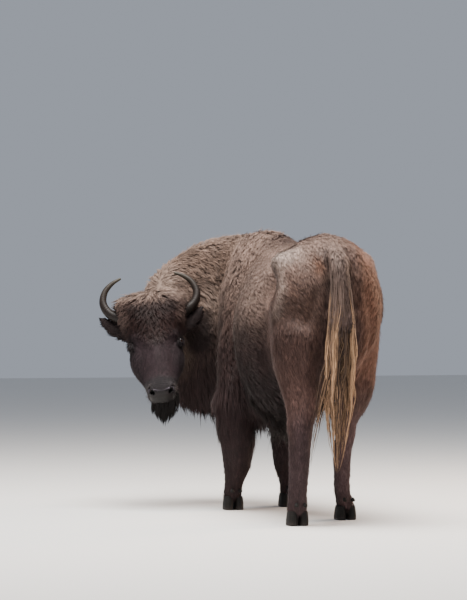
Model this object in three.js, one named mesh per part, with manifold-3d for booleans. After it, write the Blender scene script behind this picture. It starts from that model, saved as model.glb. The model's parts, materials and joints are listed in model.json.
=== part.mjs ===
// European bison cow (wisent), life size and still. She stands on four feet and looks back over her left side.
// Millimetres, +Z up. The body faces -Y and its left side is +X, with the origin on the ground under the middle.
// The solids give the outline of the whole animal with its coat on: each body part is a loft through a few
// sections, the flesh is joined and then parted by thin plane cuts, and neighbours keep a small gap.
import * as THREE from "three";
import { mergeVertices } from "three/addons/utils/BufferGeometryUtils.js";
import Module from "manifold-3d";

const wasm = await Module();
wasm.setup();

// ---- Driving dimensions -------------------------------------------------------------------------------------

const GAP = 0.3; // between two pieces that meet
const WITHERS = 1490; // top of the hump, coat included
const RUMP = 1435; // top of the sacrum
const HOOF = { length: 104, width: 50, height: 62, cleft: 6 };
const DEWCLAW = { radius: 14, length: 36, tilt: -158, out: 22, behind: 54, height: 98 };
const LEFT = 1;
const RIGHT = -1;

// Where the four feet stand: the middle of each foot on the ground. `lean` brings a shank nearer the midline than
// its foot, and `slim` narrows it.
const FEET = {
  fore_L: { x: 184, y: -522, lean: 0, slim: 1 },
  fore_R: { x: -172, y: -650, lean: 0, slim: 1 },
  hind_L: { x: 199, y: 540, lean: -4, slim: 1 },
  hind_R: { x: -152, y: 270, lean: 24, slim: 0.84 },
};

// The head turns back beside the shoulder: where the point between the eyes is, and how the face is turned.
const HEAD = { x: 552, y: -725, z: 872, turn: 165, tip: 25, roll: 6.5 };

// Colours of the coat and horny parts.
const COLOUR = {
  coat: 0x5d4638,
  mane: 0x6b5242,
  dark: 0x33261f,
  muzzle: 0x1d1817,
  horn: 0x4a443f,
  hoof: 0x1f1b19,
  eye: 0x120d0a,
  tassel: 0x8a6440,
};

// ---- Section tables: each row is one section through the coat ----------------------------------------------

// Trunk: `at` is the section's y, from the buttocks forward to the breast; `wide` is the height of the widest place.
const TRUNK = [
  { at: 654, top: 1200, bottom: 1050, half: 52, wide: 1130, upper: 2, lower: 2 },
  { at: 638, top: 1290, bottom: 910, half: 128, wide: 1110, upper: 2, lower: 2.2 },
  { at: 592, top: 1356, bottom: 790, half: 204, wide: 1100, upper: 1.95, lower: 2.3 },
  { at: 500, top: 1410, bottom: 715, half: 264, wide: 1110, upper: 1.95, lower: 2.2 },
  { at: 400, top: RUMP, bottom: 668, half: 292, wide: 1120, upper: 2, lower: 2.1 },
  { at: 310, top: 1428, bottom: 636, half: 266, wide: 1100, upper: 1.95, lower: 2.1 },
  { at: 200, top: 1408, bottom: 592, half: 236, wide: 1010, upper: 1.6, lower: 2.2 },
  { at: 60, top: 1400, bottom: 532, half: 280, wide: 985, upper: 1.6, lower: 2.2 },
  { at: -120, top: 1422, bottom: 496, half: 304, wide: 975, upper: 1.55, lower: 2.2 },
  { at: -215, top: 1446, bottom: 488, half: 288, wide: 970, upper: 1.55, lower: 2.1 },
  { at: -325, top: 1474, bottom: 488, half: 238, wide: 960, upper: 1.6, lower: 2 },
  { at: -450, top: WITHERS, bottom: 498, half: 236, wide: 960, upper: 1.75, lower: 1.9 },
  { at: -600, top: 1490, bottom: 520, half: 228, wide: 960, upper: 1.8, lower: 1.9 },
  { at: -730, top: 1480, bottom: 545, half: 206, wide: 960, upper: 1.85, lower: 1.9 },
  { at: -820, top: 1430, bottom: 640, half: 160, wide: 970, upper: 2, lower: 2 },
  { at: -862, top: 1260, bottom: 800, half: 70, wide: 1000, upper: 2, lower: 2 },
];
// The hip bones show as two knobs on the rump.
const HOOK = { x: 168, y: 332, z: 1262, radii: [90, 132, 92] };

// Neck: it leaves the breast forward and bends round to the left; x and y are on its middle line.
const NECK = [
  { at: 0, x: -6, y: -520, top: 1470, bottom: 600, half: 190 },
  { at: 1, x: -4, y: -740, top: 1486, bottom: 525, half: 200 },
  { at: 2, x: 34, y: -888, top: 1484, bottom: 515, half: 198 },
  { at: 3, x: 138, y: -988, top: 1474, bottom: 520, half: 190 },
  { at: 4, x: 268, y: -1010, top: 1420, bottom: 548, half: 182 },
  { at: 5, x: 394, y: -962, top: 1338, bottom: 605, half: 170 },
  { at: 6, x: 474, y: -886, top: 1262, bottom: 690, half: 156 },
  { at: 7, x: 514, y: -818, top: 1160, bottom: 790, half: 116 },
  { at: 8, x: 530, y: -776, top: 1040, bottom: 900, half: 50 },
];
const NECK_ROUND = { crest: 1.75, throat: 1.55 }; // roundness of the neck above and below: under 2 is peaked
const NECK_CUT = { x: 0, y: -790, normal: [0.26, -0.966, 0] };

// Head, in its own frame: it faces -Y, its left is +X, and the origin lies between the eyes.
// `at` is the height along the face, from the forelock down to the lip.
const SKULL = [
  { at: 298, half: 62, front: 80, back: -14, wide: -50, round: 2 },
  { at: 287, half: 146, front: 98, back: 34, wide: -32, round: 2.2 },
  { at: 258, half: 196, front: 112, back: 84, wide: -16, round: 2.3 },
  { at: 200, half: 194, front: 121, back: 132, wide: 0, round: 2.2 },
  { at: 130, half: 178, front: 120, back: 170, wide: 10, round: 2.1 },
  { at: 60, half: 152, front: 112, back: 196, wide: 16, round: 1.85 },
  { at: 0, half: 141, front: 103, back: 206, wide: 36, round: 1.7 },
  { at: -60, half: 146, front: 94, back: 194, wide: 52, round: 1.7 },
  { at: -120, half: 138, front: 86, back: 164, wide: 44, round: 1.75 },
  { at: -180, half: 112, front: 78, back: 126, wide: 22, round: 1.9 },
  { at: -235, half: 87, front: 72, back: 96, wide: 4, round: 2.2 },
  { at: -280, half: 77, front: 66, back: 82, wide: 0, round: 2.3 },
  { at: -312, half: 67, front: 50, back: 72, wide: 8, round: 2.2 },
  { at: -332, half: 34, front: 16, back: 48, wide: 18, round: 2 },
];
const MUZZLE_CUT = -232; // the muzzle begins at this height along the face
const EYE = { radius: 20, x: 126, y: -6, z: 2 };
const EYE_PAD = { x: 106, y: 4, z: 6, radii: [35, 37, 40] };

// Horn: a tapered round rod out of the side of the forehead, up, and in at the tip, in the head's frame.
const HORN = [
  { at: 0, x: 92, y: 12, z: 170, radius: 36 },
  { at: 1, x: 160, y: 10, z: 181, radius: 32 },
  { at: 2, x: 224, y: 4, z: 214, radius: 26 },
  { at: 3, x: 253, y: -4, z: 273, radius: 21 },
  { at: 4, x: 239, y: -12, z: 334, radius: 17 },
  { at: 5, x: 197, y: -20, z: 377, radius: 12 },
  { at: 6, x: 143, y: -26, z: 403, radius: 5 },
];

// Ear: a cupped leaf from the side of the head, in the head's frame.
const EAR = { root: [150, 46, 84], tip: [278, 14, 200], width: 47, thick: 12, cup: 18, facing: [0.25, -1, 0.12] };

// Legs: horizontal sections from inside the body down to the pastern. x and y are measured from the foot's
// middle, `out` and `inn` are the widths away from and towards the other leg, `fore` and `aft` the depths.
const FORELEG = [
  { at: 1200, x: -76, y: 60, out: 64, inn: 60, fore: 100, aft: 80 },
  { at: 1040, x: -48, y: 30, out: 92, inn: 80, fore: 146, aft: 130 },
  { at: 880, x: -20, y: 20, out: 98, inn: 92, fore: 146, aft: 150 },
  { at: 740, x: -4, y: 26, out: 98, inn: 98, fore: 128, aft: 150 },
  { at: 600, x: 0, y: 26, out: 108, inn: 108, fore: 100, aft: 146 },
  { at: 480, x: 0, y: 20, out: 104, inn: 112, fore: 82, aft: 144 },
  { at: 370, x: 0, y: 14, out: 80, inn: 110, fore: 66, aft: 136 },
  { at: 300, x: 0, y: 10, out: 68, inn: 102, fore: 54, aft: 122 },
  { at: 240, x: 0, y: 6, out: 58, inn: 94, fore: 48, aft: 108 },
  { at: 185, x: 0, y: 4, out: 50, inn: 76, fore: 44, aft: 86 },
  { at: 140, x: 0, y: 2, out: 48, inn: 54, fore: 46, aft: 62 },
  { at: 104, x: 0, y: 0, out: 50, inn: 48, fore: 50, aft: 52 },
  { at: HOOF.height + GAP, x: 0, y: -6, out: 52, inn: 50, fore: 54, aft: 46 },
];
// The hind leg's bend: how far the stifle lies ahead of the hip and the hock behind it, for a foot under the hip.
const HIND = [
  { at: 1200, joint: "hip", x: -34, y: -30, out: 60, inn: 50, fore: 90, aft: 90 },
  { at: 1060, joint: "hip", x: -6, y: -28, out: 114, inn: 100, fore: 172, aft: 160 },
  { at: 920, joint: "stifle", x: 0, y: 92, out: 118, inn: 110, fore: 190, aft: 196 },
  { at: 790, joint: "stifle", x: 0, y: 96, out: 112, inn: 108, fore: 168, aft: 166 },
  { at: 680, joint: "stifle", x: 0, y: 128, out: 98, inn: 106, fore: 128, aft: 132 },
  { at: 590, joint: "gaskin", x: 0, y: 0, out: 84, inn: 92, fore: 98, aft: 106 },
  { at: 500, joint: "hock", x: 0, y: -12, out: 66, inn: 68, fore: 76, aft: 90 },
  { at: 430, joint: "hock", x: 0, y: 0, out: 62, inn: 58, fore: 64, aft: 80 },
  { at: 350, joint: "foot", x: 0, y: 28, out: 50, inn: 60, fore: 54, aft: 74 },
  { at: 240, joint: "foot", x: 0, y: 20, out: 48, inn: 54, fore: 46, aft: 66 },
  { at: 140, joint: "foot", x: 0, y: 10, out: 49, inn: 50, fore: 48, aft: 60 },
  { at: 100, joint: "foot", x: 0, y: 2, out: 50, inn: 50, fore: 50, aft: 54 },
  { at: HOOF.height + GAP, joint: "foot", x: 0, y: -6, out: 52, inn: 50, fore: 54, aft: 46 },
];
const HIP = { x: 152, y: 448 };
const STIFLE = { x: 172, ahead: 130 };
const HOCK_BEHIND = 36; // the hock stands this far behind the foot
const LEG_CUT = { fore: 640, hind: 668 }; // height of the cut between leg and body

// Tail: the haired dock hangs behind the rump, and the long tassel under it.
const TAIL = [
  { at: 0, x: 24, y: 556, z: 1330, half: 44, deep: 34 },
  { at: 1, x: 28, y: 634, z: 1322, half: 50, deep: 38 },
  { at: 2, x: 31, y: 682, z: 1262, half: 50, deep: 36 },
  { at: 3, x: 30, y: 697, z: 1170, half: 50, deep: 34 },
  { at: 4, x: 28, y: 700, z: 1090, half: 62, deep: 36 },
  { at: 5, x: 28, y: 704, z: 1000, half: 76, deep: 40 },
  { at: 6, x: 32, y: 710, z: 880, half: 81, deep: 44 },
  { at: 7, x: 38, y: 714, z: 740, half: 84, deep: 48 },
  { at: 8, x: 44, y: 714, z: 600, half: 80, deep: 48 },
  { at: 9, x: 47, y: 712, z: 480, half: 66, deep: 42 },
  { at: 10, x: 46, y: 706, z: 360, half: 40, deep: 30 },
  { at: 11, x: 50, y: 700, z: 262, half: 9, deep: 8 },
];
// A lock of the tassel that has blown to the left.
const LOCK = [
  { at: 0, x: 80, y: 708, z: 840, half: 26, deep: 22 },
  { at: 1, x: 104, y: 712, z: 740, half: 34, deep: 24 },
  { at: 2, x: 130, y: 712, z: 630, half: 34, deep: 24 },
  { at: 3, x: 160, y: 708, z: 500, half: 28, deep: 20 },
  { at: 4, x: 178, y: 702, z: 380, half: 20, deep: 14 },
  { at: 5, x: 186, y: 696, z: 282, half: 6, deep: 6 },
];
const TAIL_CUT = 960; // height where the tassel begins

// Beard: it hangs straight down from the chin. `at` is the drop below the chin.
const CHIN = [12, 44, -298]; // in the head's frame
const BEARD = [
  { at: 0, half: 66, deep: 46 },
  { at: 40, half: 74, deep: 50 },
  { at: 90, half: 58, deep: 40 },
  { at: 132, half: 32, deep: 24 },
  { at: 158, half: 8, deep: 7 },
];

// Facets: sections along and points round each loft.
const FACETS = {
  trunk: [26, 24],
  neck: [16, 20],
  skull: [22, 22],
  leg: [22, 12],
  horn: [14, 9],
  ear: [8, 9],
  tail: [22, 12],
  lock: [8, 8],
  beard: [8, 12],
  claw: [3, 10],
  dewclaw: 7,
  pad: [12, 8],
  eye: [12, 8],
};
const NUDGE = 0.02; // step along a bending middle line, to read which way it runs
const NECK_MIDDLE = 0.45; // height of the neck's widest place, as a share from its underside to its crest

// ---- Lofts --------------------------------------------------------------------------------------------------

// Reads `key` at the place t of a section table: a smooth curve that never swings past its rows.
function read(rows, key, t) {
  const falling = rows[0].at > rows[rows.length - 1].at;
  const list = falling ? [...rows].reverse() : rows;
  const last = list.length - 2;
  const slope = (i) => (list[i + 1][key] - list[i][key]) / (list[i + 1].at - list[i].at);
  const bend = (i) => {
    if (i === 0) return slope(0);
    if (i > last) return slope(last);
    const before = slope(i - 1);
    const after = slope(i);
    return before * after <= 0 ? 0 : (2 * before * after) / (before + after);
  };
  let i = 0;
  while (i < last && t > list[i + 1].at) i++;
  const span = list[i + 1].at - list[i].at;
  const u = THREE.MathUtils.clamp((t - list[i].at) / span, 0, 1);
  const [u2, u3] = [u * u, u * u * u];
  return (
    (2 * u3 - 3 * u2 + 1) * list[i][key] +
    (u3 - 2 * u2 + u) * span * bend(i) +
    (3 * u2 - 2 * u3) * list[i + 1][key] +
    (u3 - u2) * span * bend(i + 1)
  );
}

// A closed ring round `origin`: `half` and `other` are its sizes along +side and -side, `up` and `down` along
// +top and -top, and the two round values shape its upper and lower halves (2 is an ellipse).
function ring(origin, side, top, size, points) {
  return Array.from({ length: points }, (_, k) => {
    const angle = (2 * Math.PI * k) / points;
    const [c, s] = [Math.cos(angle), Math.sin(angle)];
    const power = 2 / (s > 0 ? size.upper : size.lower);
    const across = Math.sign(c) * Math.abs(c) ** power * (c > 0 ? size.half : size.other);
    const along = Math.sign(s) * Math.abs(s) ** power * (s > 0 ? size.up : size.down);
    return origin.clone().addScaledVector(side, across).addScaledVector(top, along);
  });
}

// Joins rings into one closed surface with a fan at each end.
function surface(rings) {
  const points = rings[0].length;
  const middle = (r) => r.reduce((sum, p) => sum.add(p), new THREE.Vector3()).divideScalar(points);
  const ends = [middle(rings[0]), middle(rings[rings.length - 1])];
  const all = [...rings.flat(), ...ends];
  const index = [];
  for (let i = 0; i + 1 < rings.length; i++) {
    for (let k = 0; k < points; k++) {
      const [a, b] = [i * points + k, i * points + ((k + 1) % points)];
      index.push(a, b, b + points, a, b + points, a + points);
    }
  }
  const first = rings.length * points;
  const tail = (rings.length - 1) * points;
  for (let k = 0; k < points; k++) {
    index.push(first, (k + 1) % points, k, first + 1, tail + k, tail + ((k + 1) % points));
  }
  const geometry = new THREE.BufferGeometry().setFromPoints(all);
  geometry.setIndex(index);
  return geometry;
}

// A closed three.js geometry as a solid, with its faces turned outwards.
function solid(geometry) {
  const bare = new THREE.BufferGeometry().setAttribute("position", geometry.getAttribute("position"));
  bare.setIndex(geometry.index);
  const merged = mergeVertices(bare, 1e-3);
  const triVerts = new Uint32Array(merged.index.array);
  const make = () =>
    new wasm.Manifold(new wasm.Mesh({ numProp: 3, vertProperties: merged.attributes.position.array, triVerts }));
  const made = make();
  if (made.volume() > 0) return made;
  for (let i = 0; i < triVerts.length; i += 3) {
    [triVerts[i + 1], triVerts[i + 2]] = [triVerts[i + 2], triVerts[i + 1]];
  }
  return make();
}

// Steps from 0 to 1 that lie closer together near both ends, where a loft rounds off.
function eased(count) {
  return Array.from({ length: count + 1 }, (_, i) => {
    const even = i / count;
    return 0.45 * even + 0.55 * (0.5 - 0.5 * Math.cos(Math.PI * even));
  });
}

// A loft through a table, where `place(t)` gives each ring's origin, axes and sizes. A loft with `grow` stands
// that much proud all round: cutting with it leaves a gap.
function loft(rows, [along, round], grow, place) {
  const [from, to] = [rows[0].at, rows[rows.length - 1].at];
  const stops = eased(along).map((share) => place(from + (to - from) * share));
  const last = stops.length - 1;
  const outward = (end, next) => end.clone().sub(next).setLength(grow);
  const first = outward(stops[0].origin, stops[1].origin);
  const final = outward(stops[last].origin, stops[last - 1].origin);
  stops[0].origin.add(first);
  stops[last].origin.add(final);
  const rings = stops.map(({ origin, side, top, size }) => {
    const proud = { half: size.half + grow, other: size.other + grow, up: size.up + grow, down: size.down + grow };
    return ring(origin, side, top, { ...size, ...proud }, round);
  });
  return solid(surface(rings));
}

// A loft along a bending middle line, given by x, y and z or by top and bottom in the table's rows.
function bentLoft(rows, facets, grow, sizeAt, topAxis) {
  const middle = (t) => new THREE.Vector3(read(rows, "x", t), read(rows, "y", t), read(rows, "z", t));
  return loft(rows, facets, grow, (t) => {
    const ahead = middle(Math.min(t + NUDGE, rows[rows.length - 1].at));
    const run = ahead.sub(middle(Math.max(t - NUDGE, 0))).normalize();
    const side = new THREE.Vector3().crossVectors(run, topAxis).normalize();
    const top = new THREE.Vector3().crossVectors(side, run).normalize();
    return { origin: middle(t), side, top, size: sizeAt(t) };
  });
}

const AXIS = { x: new THREE.Vector3(1, 0, 0), y: new THREE.Vector3(0, 1, 0), z: new THREE.Vector3(0, 0, 1) };
const evenRound = (half, deep) => ({ half, other: half, up: deep, down: deep, upper: 2, lower: 2 });

// An ellipsoid with the given radii round a point.
function ellipsoid({ x, y, z, radii }, mirrored, grow) {
  const geometry = new THREE.SphereGeometry(1, ...FACETS.pad);
  geometry.scale(...radii.map((radius) => radius + grow)).translate(x * mirrored, y, z);
  return solid(geometry);
}

// ---- Flesh --------------------------------------------------------------------------------------------------

function trunkCore(grow = 0) {
  const barrel = loft(TRUNK, FACETS.trunk, grow, (y) => {
    const get = (key) => read(TRUNK, key, y);
    const wide = get("wide");
    const size = { half: get("half"), other: get("half"), up: get("top") - wide, down: wide - get("bottom") };
    return {
      origin: new THREE.Vector3(0, y, wide),
      side: AXIS.x,
      top: AXIS.z,
      size: { ...size, upper: get("upper"), lower: get("lower") },
    };
  });
  return barrel.add(ellipsoid(HOOK, LEFT, grow)).add(ellipsoid(HOOK, RIGHT, grow));
}

function neckCore(grow = 0) {
  const rows = NECK.map((row) => ({ ...row, z: THREE.MathUtils.lerp(row.bottom, row.top, NECK_MIDDLE) }));
  const middle = (t) => new THREE.Vector3(read(rows, "x", t), read(rows, "y", t), 0);
  return loft(rows, FACETS.neck, grow, (t) => {
    const run = middle(t + NUDGE).sub(middle(t - NUDGE)).normalize();
    const z = read(rows, "z", t);
    const half = read(rows, "half", t);
    const size = { half, other: half, up: read(rows, "top", t) - z, down: z - read(rows, "bottom", t) };
    return {
      origin: middle(t).setZ(z),
      side: new THREE.Vector3().crossVectors(run, AXIS.z).normalize(),
      top: AXIS.z,
      size: { ...size, upper: NECK_ROUND.crest, lower: NECK_ROUND.throat },
    };
  });
}

// Where a leg's section is centred: fore legs hang over the foot, hind legs follow hip, stifle, hock and foot.
function hindPlace(foot, side, row) {
  const shank = Math.abs(foot.x) - foot.lean;
  const stifle = { x: STIFLE.x, y: (HIP.y + foot.y) / 2 - STIFLE.ahead };
  const hock = { x: 0.75 * shank + 0.25 * STIFLE.x, y: foot.y + HOCK_BEHIND };
  const joints = {
    hip: HIP,
    stifle,
    gaskin: { x: STIFLE.x, y: (stifle.y + STIFLE.ahead + hock.y) / 2 },
    hock,
    foot: { x: row.at > 110 ? shank : Math.abs(foot.x), y: foot.y },
  };
  const joint = joints[row.joint];
  const slim = row.at < 450 && row.at > 90 ? foot.slim : 1;
  return {
    ...row,
    x: side * (joint.x + row.x),
    y: joint.y + row.y,
    out: row.out * slim,
    inn: row.inn * slim,
  };
}

function forePlace(foot, side, row) {
  return { ...row, x: foot.x + side * row.x, y: foot.y + row.y };
}

function legCore(name, grow = 0) {
  const foot = FEET[name];
  const side = Math.sign(foot.x);
  const isFore = name.startsWith("fore");
  const rows = (isFore ? FORELEG : HIND).map((row) => (isFore ? forePlace : hindPlace)(foot, side, row));
  return loft(rows, FACETS.leg, grow, (z) => {
    const get = (key) => read(rows, key, z);
    return {
      origin: new THREE.Vector3(get("x"), get("y"), z),
      side: AXIS.x.clone().multiplyScalar(side),
      top: AXIS.y,
      size: { half: get("out"), other: get("inn"), up: get("aft"), down: get("fore"), upper: 2.1, lower: 2.1 },
    };
  });
}

// ---- Head, in its own frame ---------------------------------------------------------------------------------

const headFrame = new THREE.Matrix4()
  .makeTranslation(HEAD.x, HEAD.y, HEAD.z)
  .multiply(new THREE.Matrix4().makeRotationZ(THREE.MathUtils.degToRad(HEAD.turn)))
  .multiply(new THREE.Matrix4().makeRotationY(THREE.MathUtils.degToRad(-HEAD.roll)))
  .multiply(new THREE.Matrix4().makeRotationX(THREE.MathUtils.degToRad(-HEAD.tip)));

function skull(grow = 0) {
  const core = loft(SKULL, FACETS.skull, grow, (z) => {
    const get = (key) => read(SKULL, key, z);
    const wide = get("wide");
    const half = get("half");
    const size = { half, other: half, up: get("back") - wide, down: get("front") + wide };
    return {
      origin: new THREE.Vector3(0, wide, z),
      side: AXIS.x,
      top: AXIS.y,
      size: { ...size, upper: 2.1, lower: get("round") },
    };
  });
  return [LEFT, RIGHT].reduce(
    (made, hand) => made.add(ellipsoid(EYE_PAD, hand, grow)),
    core,
  );
}

function horn(hand, grow = 0) {
  const rows = HORN.map((row) => ({ ...row, x: row.x * hand }));
  return bentLoft(rows, FACETS.horn, grow, (t) => evenRound(read(rows, "radius", t), read(rows, "radius", t)), AXIS.y);
}

// The ear's rings are bowed, so that its rims stand forward of its middle.
function ear(hand) {
  const [root, tip] = [EAR.root, EAR.tip].map((point) => new THREE.Vector3(point[0] * hand, point[1], point[2]));
  const run = tip.clone().sub(root).normalize();
  const [x, y, z] = EAR.facing;
  const face = new THREE.Vector3(hand * x, y, z).normalize();
  const side = new THREE.Vector3().crossVectors(run, face).normalize();
  const out = new THREE.Vector3().crossVectors(side, run).normalize();
  const [along, round] = FACETS.ear;
  const rings = Array.from({ length: along + 1 }, (_, i) => {
    const share = i / along;
    const width = EAR.width * (0.5 + 1.25 * share - 1.62 * share ** 2.4);
    const origin = root.clone().lerp(tip, share);
    return Array.from({ length: round }, (__, k) => {
      const angle = (2 * Math.PI * k) / round;
      const [c, s] = [Math.cos(angle), Math.sin(angle)];
      const bow = EAR.cup * Math.sin(Math.PI * (0.15 + 0.85 * share)) * c * c;
      return origin
        .clone()
        .addScaledVector(side, width * c)
        .addScaledVector(out, EAR.thick * (1 - 0.5 * share) * s - bow);
    });
  });
  return solid(surface(rings));
}

function eyeball(hand, grow = 0) {
  const geometry = new THREE.SphereGeometry(EYE.radius + grow, ...FACETS.eye);
  geometry.translate(EYE.x * hand, EYE.y, EYE.z);
  return solid(geometry);
}

// ---- Tail, beard and hooves -----------------------------------------------------------------------------------

function hairLoft(rows, facets) {
  return bentLoft(rows, facets, 0, (t) => evenRound(read(rows, "half", t), read(rows, "deep", t)), AXIS.y);
}

function beard() {
  const chin = new THREE.Vector3(...CHIN).applyMatrix4(headFrame);
  const facing = new THREE.Vector3(0, -1, 0).transformDirection(headFrame).setZ(0).normalize();
  const across = new THREE.Vector3().crossVectors(AXIS.z, facing);
  return loft(BEARD, FACETS.beard, 0, (drop) => ({
    origin: chin.clone().setZ(chin.z - drop),
    side: across,
    top: facing,
    size: evenRound(read(BEARD, "half", drop), read(BEARD, "deep", drop)),
  }));
}

// One claw of a cloven hoof: a flat sole, a sloping toe wall and a rounded heel.
function claw(foot, hand) {
  const middle = foot.x + hand * (HOOF.width / 2 + HOOF.cleft / 2);
  const rows = [
    { at: 0, toe: 0.58, heel: 0.42, half: 0.5 },
    { at: HOOF.height * 0.55, toe: 0.46, heel: 0.42, half: 0.5 },
    { at: HOOF.height, toe: 0.32, heel: 0.36, half: 0.45 },
  ];
  return loft(rows, FACETS.claw, 0, (z) => ({
    origin: new THREE.Vector3(middle, foot.y, z),
    side: AXIS.x,
    top: AXIS.y,
    size: {
      half: HOOF.width * read(rows, "half", z),
      other: HOOF.width * read(rows, "half", z),
      up: HOOF.length * read(rows, "heel", z),
      down: HOOF.length * read(rows, "toe", z),
      upper: 2.6,
      lower: 2.1,
    },
  }));
}

function dewclaw(foot, hand) {
  const geometry = new THREE.ConeGeometry(DEWCLAW.radius, DEWCLAW.length, FACETS.dewclaw);
  geometry.rotateX(THREE.MathUtils.degToRad(DEWCLAW.tilt));
  geometry.translate(foot.x + hand * DEWCLAW.out, foot.y + DEWCLAW.behind, DEWCLAW.height);
  return solid(geometry);
}

// ---- Parting the whole into named pieces -----------------------------------------------------------------------

const placed = (made) => made.transform(headFrame.elements);
const below = (made, height) => made.trimByPlane([0, 0, -1], -height + GAP / 2);
const above = (made, height) => made.trimByPlane([0, 0, 1], height + GAP / 2);
const ahead = (made, cut, way) => {
  const offset = cut.normal[0] * cut.x + cut.normal[1] * cut.y;
  return made.trimByPlane(cut.normal.map((n) => n * way), offset * way + GAP / 2);
};
const largest = (made) => made.decompose().sort((a, b) => b.volume() - a.volume())[0];

function bodyParts() {
  const legs = Object.keys(FEET).map((name) => ({ name, cut: LEG_CUT[name.slice(0, 4)], whole: legCore(name) }));
  const flesh = legs.reduce((made, leg) => made.add(above(leg.whole, leg.cut)), trunkCore().add(neckCore()));
  const torso = legs.reduce(
    (made, leg) => made.subtract(below(legCore(leg.name, GAP), leg.cut + GAP)),
    flesh,
  );
  const clearHead = placed(skull(GAP));
  const clearNeck = neckCore(GAP);
  const tail = hairLoft(TAIL, FACETS.tail).add(hairLoft(LOCK, FACETS.lock));
  const bareHead = skull().subtract(eyeball(LEFT, GAP).add(eyeball(RIGHT, GAP)));
  const parts = {
    trunk: largest(ahead(torso, NECK_CUT, -1)),
    neck: largest(ahead(torso, NECK_CUT, 1).subtract(clearHead)),
    head: largest(placed(bareHead.trimByPlane([0, 0, 1], MUZZLE_CUT + GAP / 2))),
    muzzle: largest(placed(bareHead.trimByPlane([0, 0, -1], -MUZZLE_CUT + GAP / 2))),
    beard: largest(beard().subtract(clearHead)),
    tail: largest(above(tail, TAIL_CUT).subtract(trunkCore(GAP))),
    tassel: below(tail, TAIL_CUT),
  };
  for (const { name, cut, whole } of legs) parts[name.replace("_", "leg_")] = largest(below(whole, cut));
  for (const [letter, hand] of [["L", LEFT], ["R", RIGHT]]) {
    const clearHorn = placed(horn(hand, GAP));
    parts[`eye_${letter}`] = placed(eyeball(hand));
    parts[`horn_${letter}`] = largest(placed(horn(hand)).subtract(clearHead).subtract(clearNeck));
    parts[`ear_${letter}`] = largest(placed(ear(hand)).subtract(clearHead).subtract(clearNeck).subtract(clearHorn));
  }
  return parts;
}

function footParts() {
  const parts = {};
  for (const [name, foot] of Object.entries(FEET)) {
    const clearLeg = legCore(name, GAP);
    for (const [letter, hand] of [["a", LEFT], ["b", RIGHT]]) {
      parts[`hoof_${name}_${letter}`] = claw(foot, hand);
      parts[`dewclaw_${name}_${letter}`] = largest(dewclaw(foot, hand).subtract(clearLeg));
    }
  }
  return parts;
}

// ---- The scene graph --------------------------------------------------------------------------------------------

const FINISH = [
  [/^horn/, COLOUR.horn, 0.45],
  [/^(hoof|dewclaw)/, COLOUR.hoof, 0.5],
  [/^eye/, COLOUR.eye, 0.1],
  [/^muzzle/, COLOUR.muzzle, 0.5],
  [/^(beard|ear|foreleg|hindleg)/, COLOUR.dark, 0.9],
  [/^tassel/, COLOUR.tassel, 0.85],
  [/^(neck|head)/, COLOUR.mane, 0.95],
  [/./, COLOUR.coat, 0.92],
];

// Drops the slivers that cuts leave behind, well within the gap between pieces.
function meshOf(made, name) {
  const { numProp, numVert, vertProperties, triVerts } = made.simplify(GAP / 3).getMesh();
  const points = Array.from({ length: numVert }, (_, i) =>
    new THREE.Vector3().fromArray(vertProperties, i * numProp),
  );
  const geometry = new THREE.BufferGeometry().setFromPoints(points);
  geometry.setIndex(new THREE.BufferAttribute(triVerts, 1));
  geometry.computeVertexNormals();
  const [, color, roughness] = FINISH.find(([pattern]) => pattern.test(name));
  const mesh = new THREE.Mesh(geometry, new THREE.MeshStandardMaterial({ color, roughness, metalness: 0 }));
  mesh.name = name;
  return mesh;
}

const wisent = new THREE.Group();
for (const [name, made] of Object.entries({ ...bodyParts(), ...footParts() })) wisent.add(meshOf(made, name));

// The origin goes under the middle of the whole animal.
const bounds = new THREE.Box3().setFromObject(wisent);
const centre = bounds.getCenter(new THREE.Vector3());
for (const mesh of wisent.children) mesh.position.set(-centre.x, -centre.y, 0);

export default wisent;
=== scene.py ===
"""A European bison cow, life size and standing still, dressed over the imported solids.

One hide replaces the solids of flesh and lies inside them by the depth of the coat. The coat is made of closed
tufts that follow the lie of the hair. Eyes, horns, hooves, beard and tail hair are pieces of their own.
"""

import json
import logging
import math
from dataclasses import dataclass, field, replace
from enum import Enum

import bmesh
import bpy
import numpy as np
from mathutils import Matrix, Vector
from mathutils.bvhtree import BVHTree
from mathutils.kdtree import KDTree

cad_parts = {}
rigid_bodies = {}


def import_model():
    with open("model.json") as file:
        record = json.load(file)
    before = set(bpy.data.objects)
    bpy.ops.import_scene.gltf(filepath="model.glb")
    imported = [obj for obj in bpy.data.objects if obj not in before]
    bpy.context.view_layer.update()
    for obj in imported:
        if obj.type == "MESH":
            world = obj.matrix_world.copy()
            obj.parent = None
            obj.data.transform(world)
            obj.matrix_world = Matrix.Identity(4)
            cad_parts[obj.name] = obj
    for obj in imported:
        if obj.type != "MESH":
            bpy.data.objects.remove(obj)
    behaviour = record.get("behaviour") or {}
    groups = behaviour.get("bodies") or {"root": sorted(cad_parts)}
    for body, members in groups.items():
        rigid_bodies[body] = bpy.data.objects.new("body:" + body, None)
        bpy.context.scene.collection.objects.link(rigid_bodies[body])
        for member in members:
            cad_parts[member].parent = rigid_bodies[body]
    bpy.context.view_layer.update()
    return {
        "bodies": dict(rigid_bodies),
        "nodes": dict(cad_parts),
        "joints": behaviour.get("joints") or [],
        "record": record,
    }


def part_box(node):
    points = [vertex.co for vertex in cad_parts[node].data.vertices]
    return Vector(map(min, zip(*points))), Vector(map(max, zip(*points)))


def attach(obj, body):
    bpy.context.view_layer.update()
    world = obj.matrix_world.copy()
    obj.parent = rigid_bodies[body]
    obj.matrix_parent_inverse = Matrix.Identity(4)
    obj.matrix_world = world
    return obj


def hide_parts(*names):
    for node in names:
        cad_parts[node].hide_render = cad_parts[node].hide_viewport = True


LOG = logging.getLogger("wisent")
BODY = "root"
SIDES = {"L": 1.0, "R": -1.0}
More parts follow.
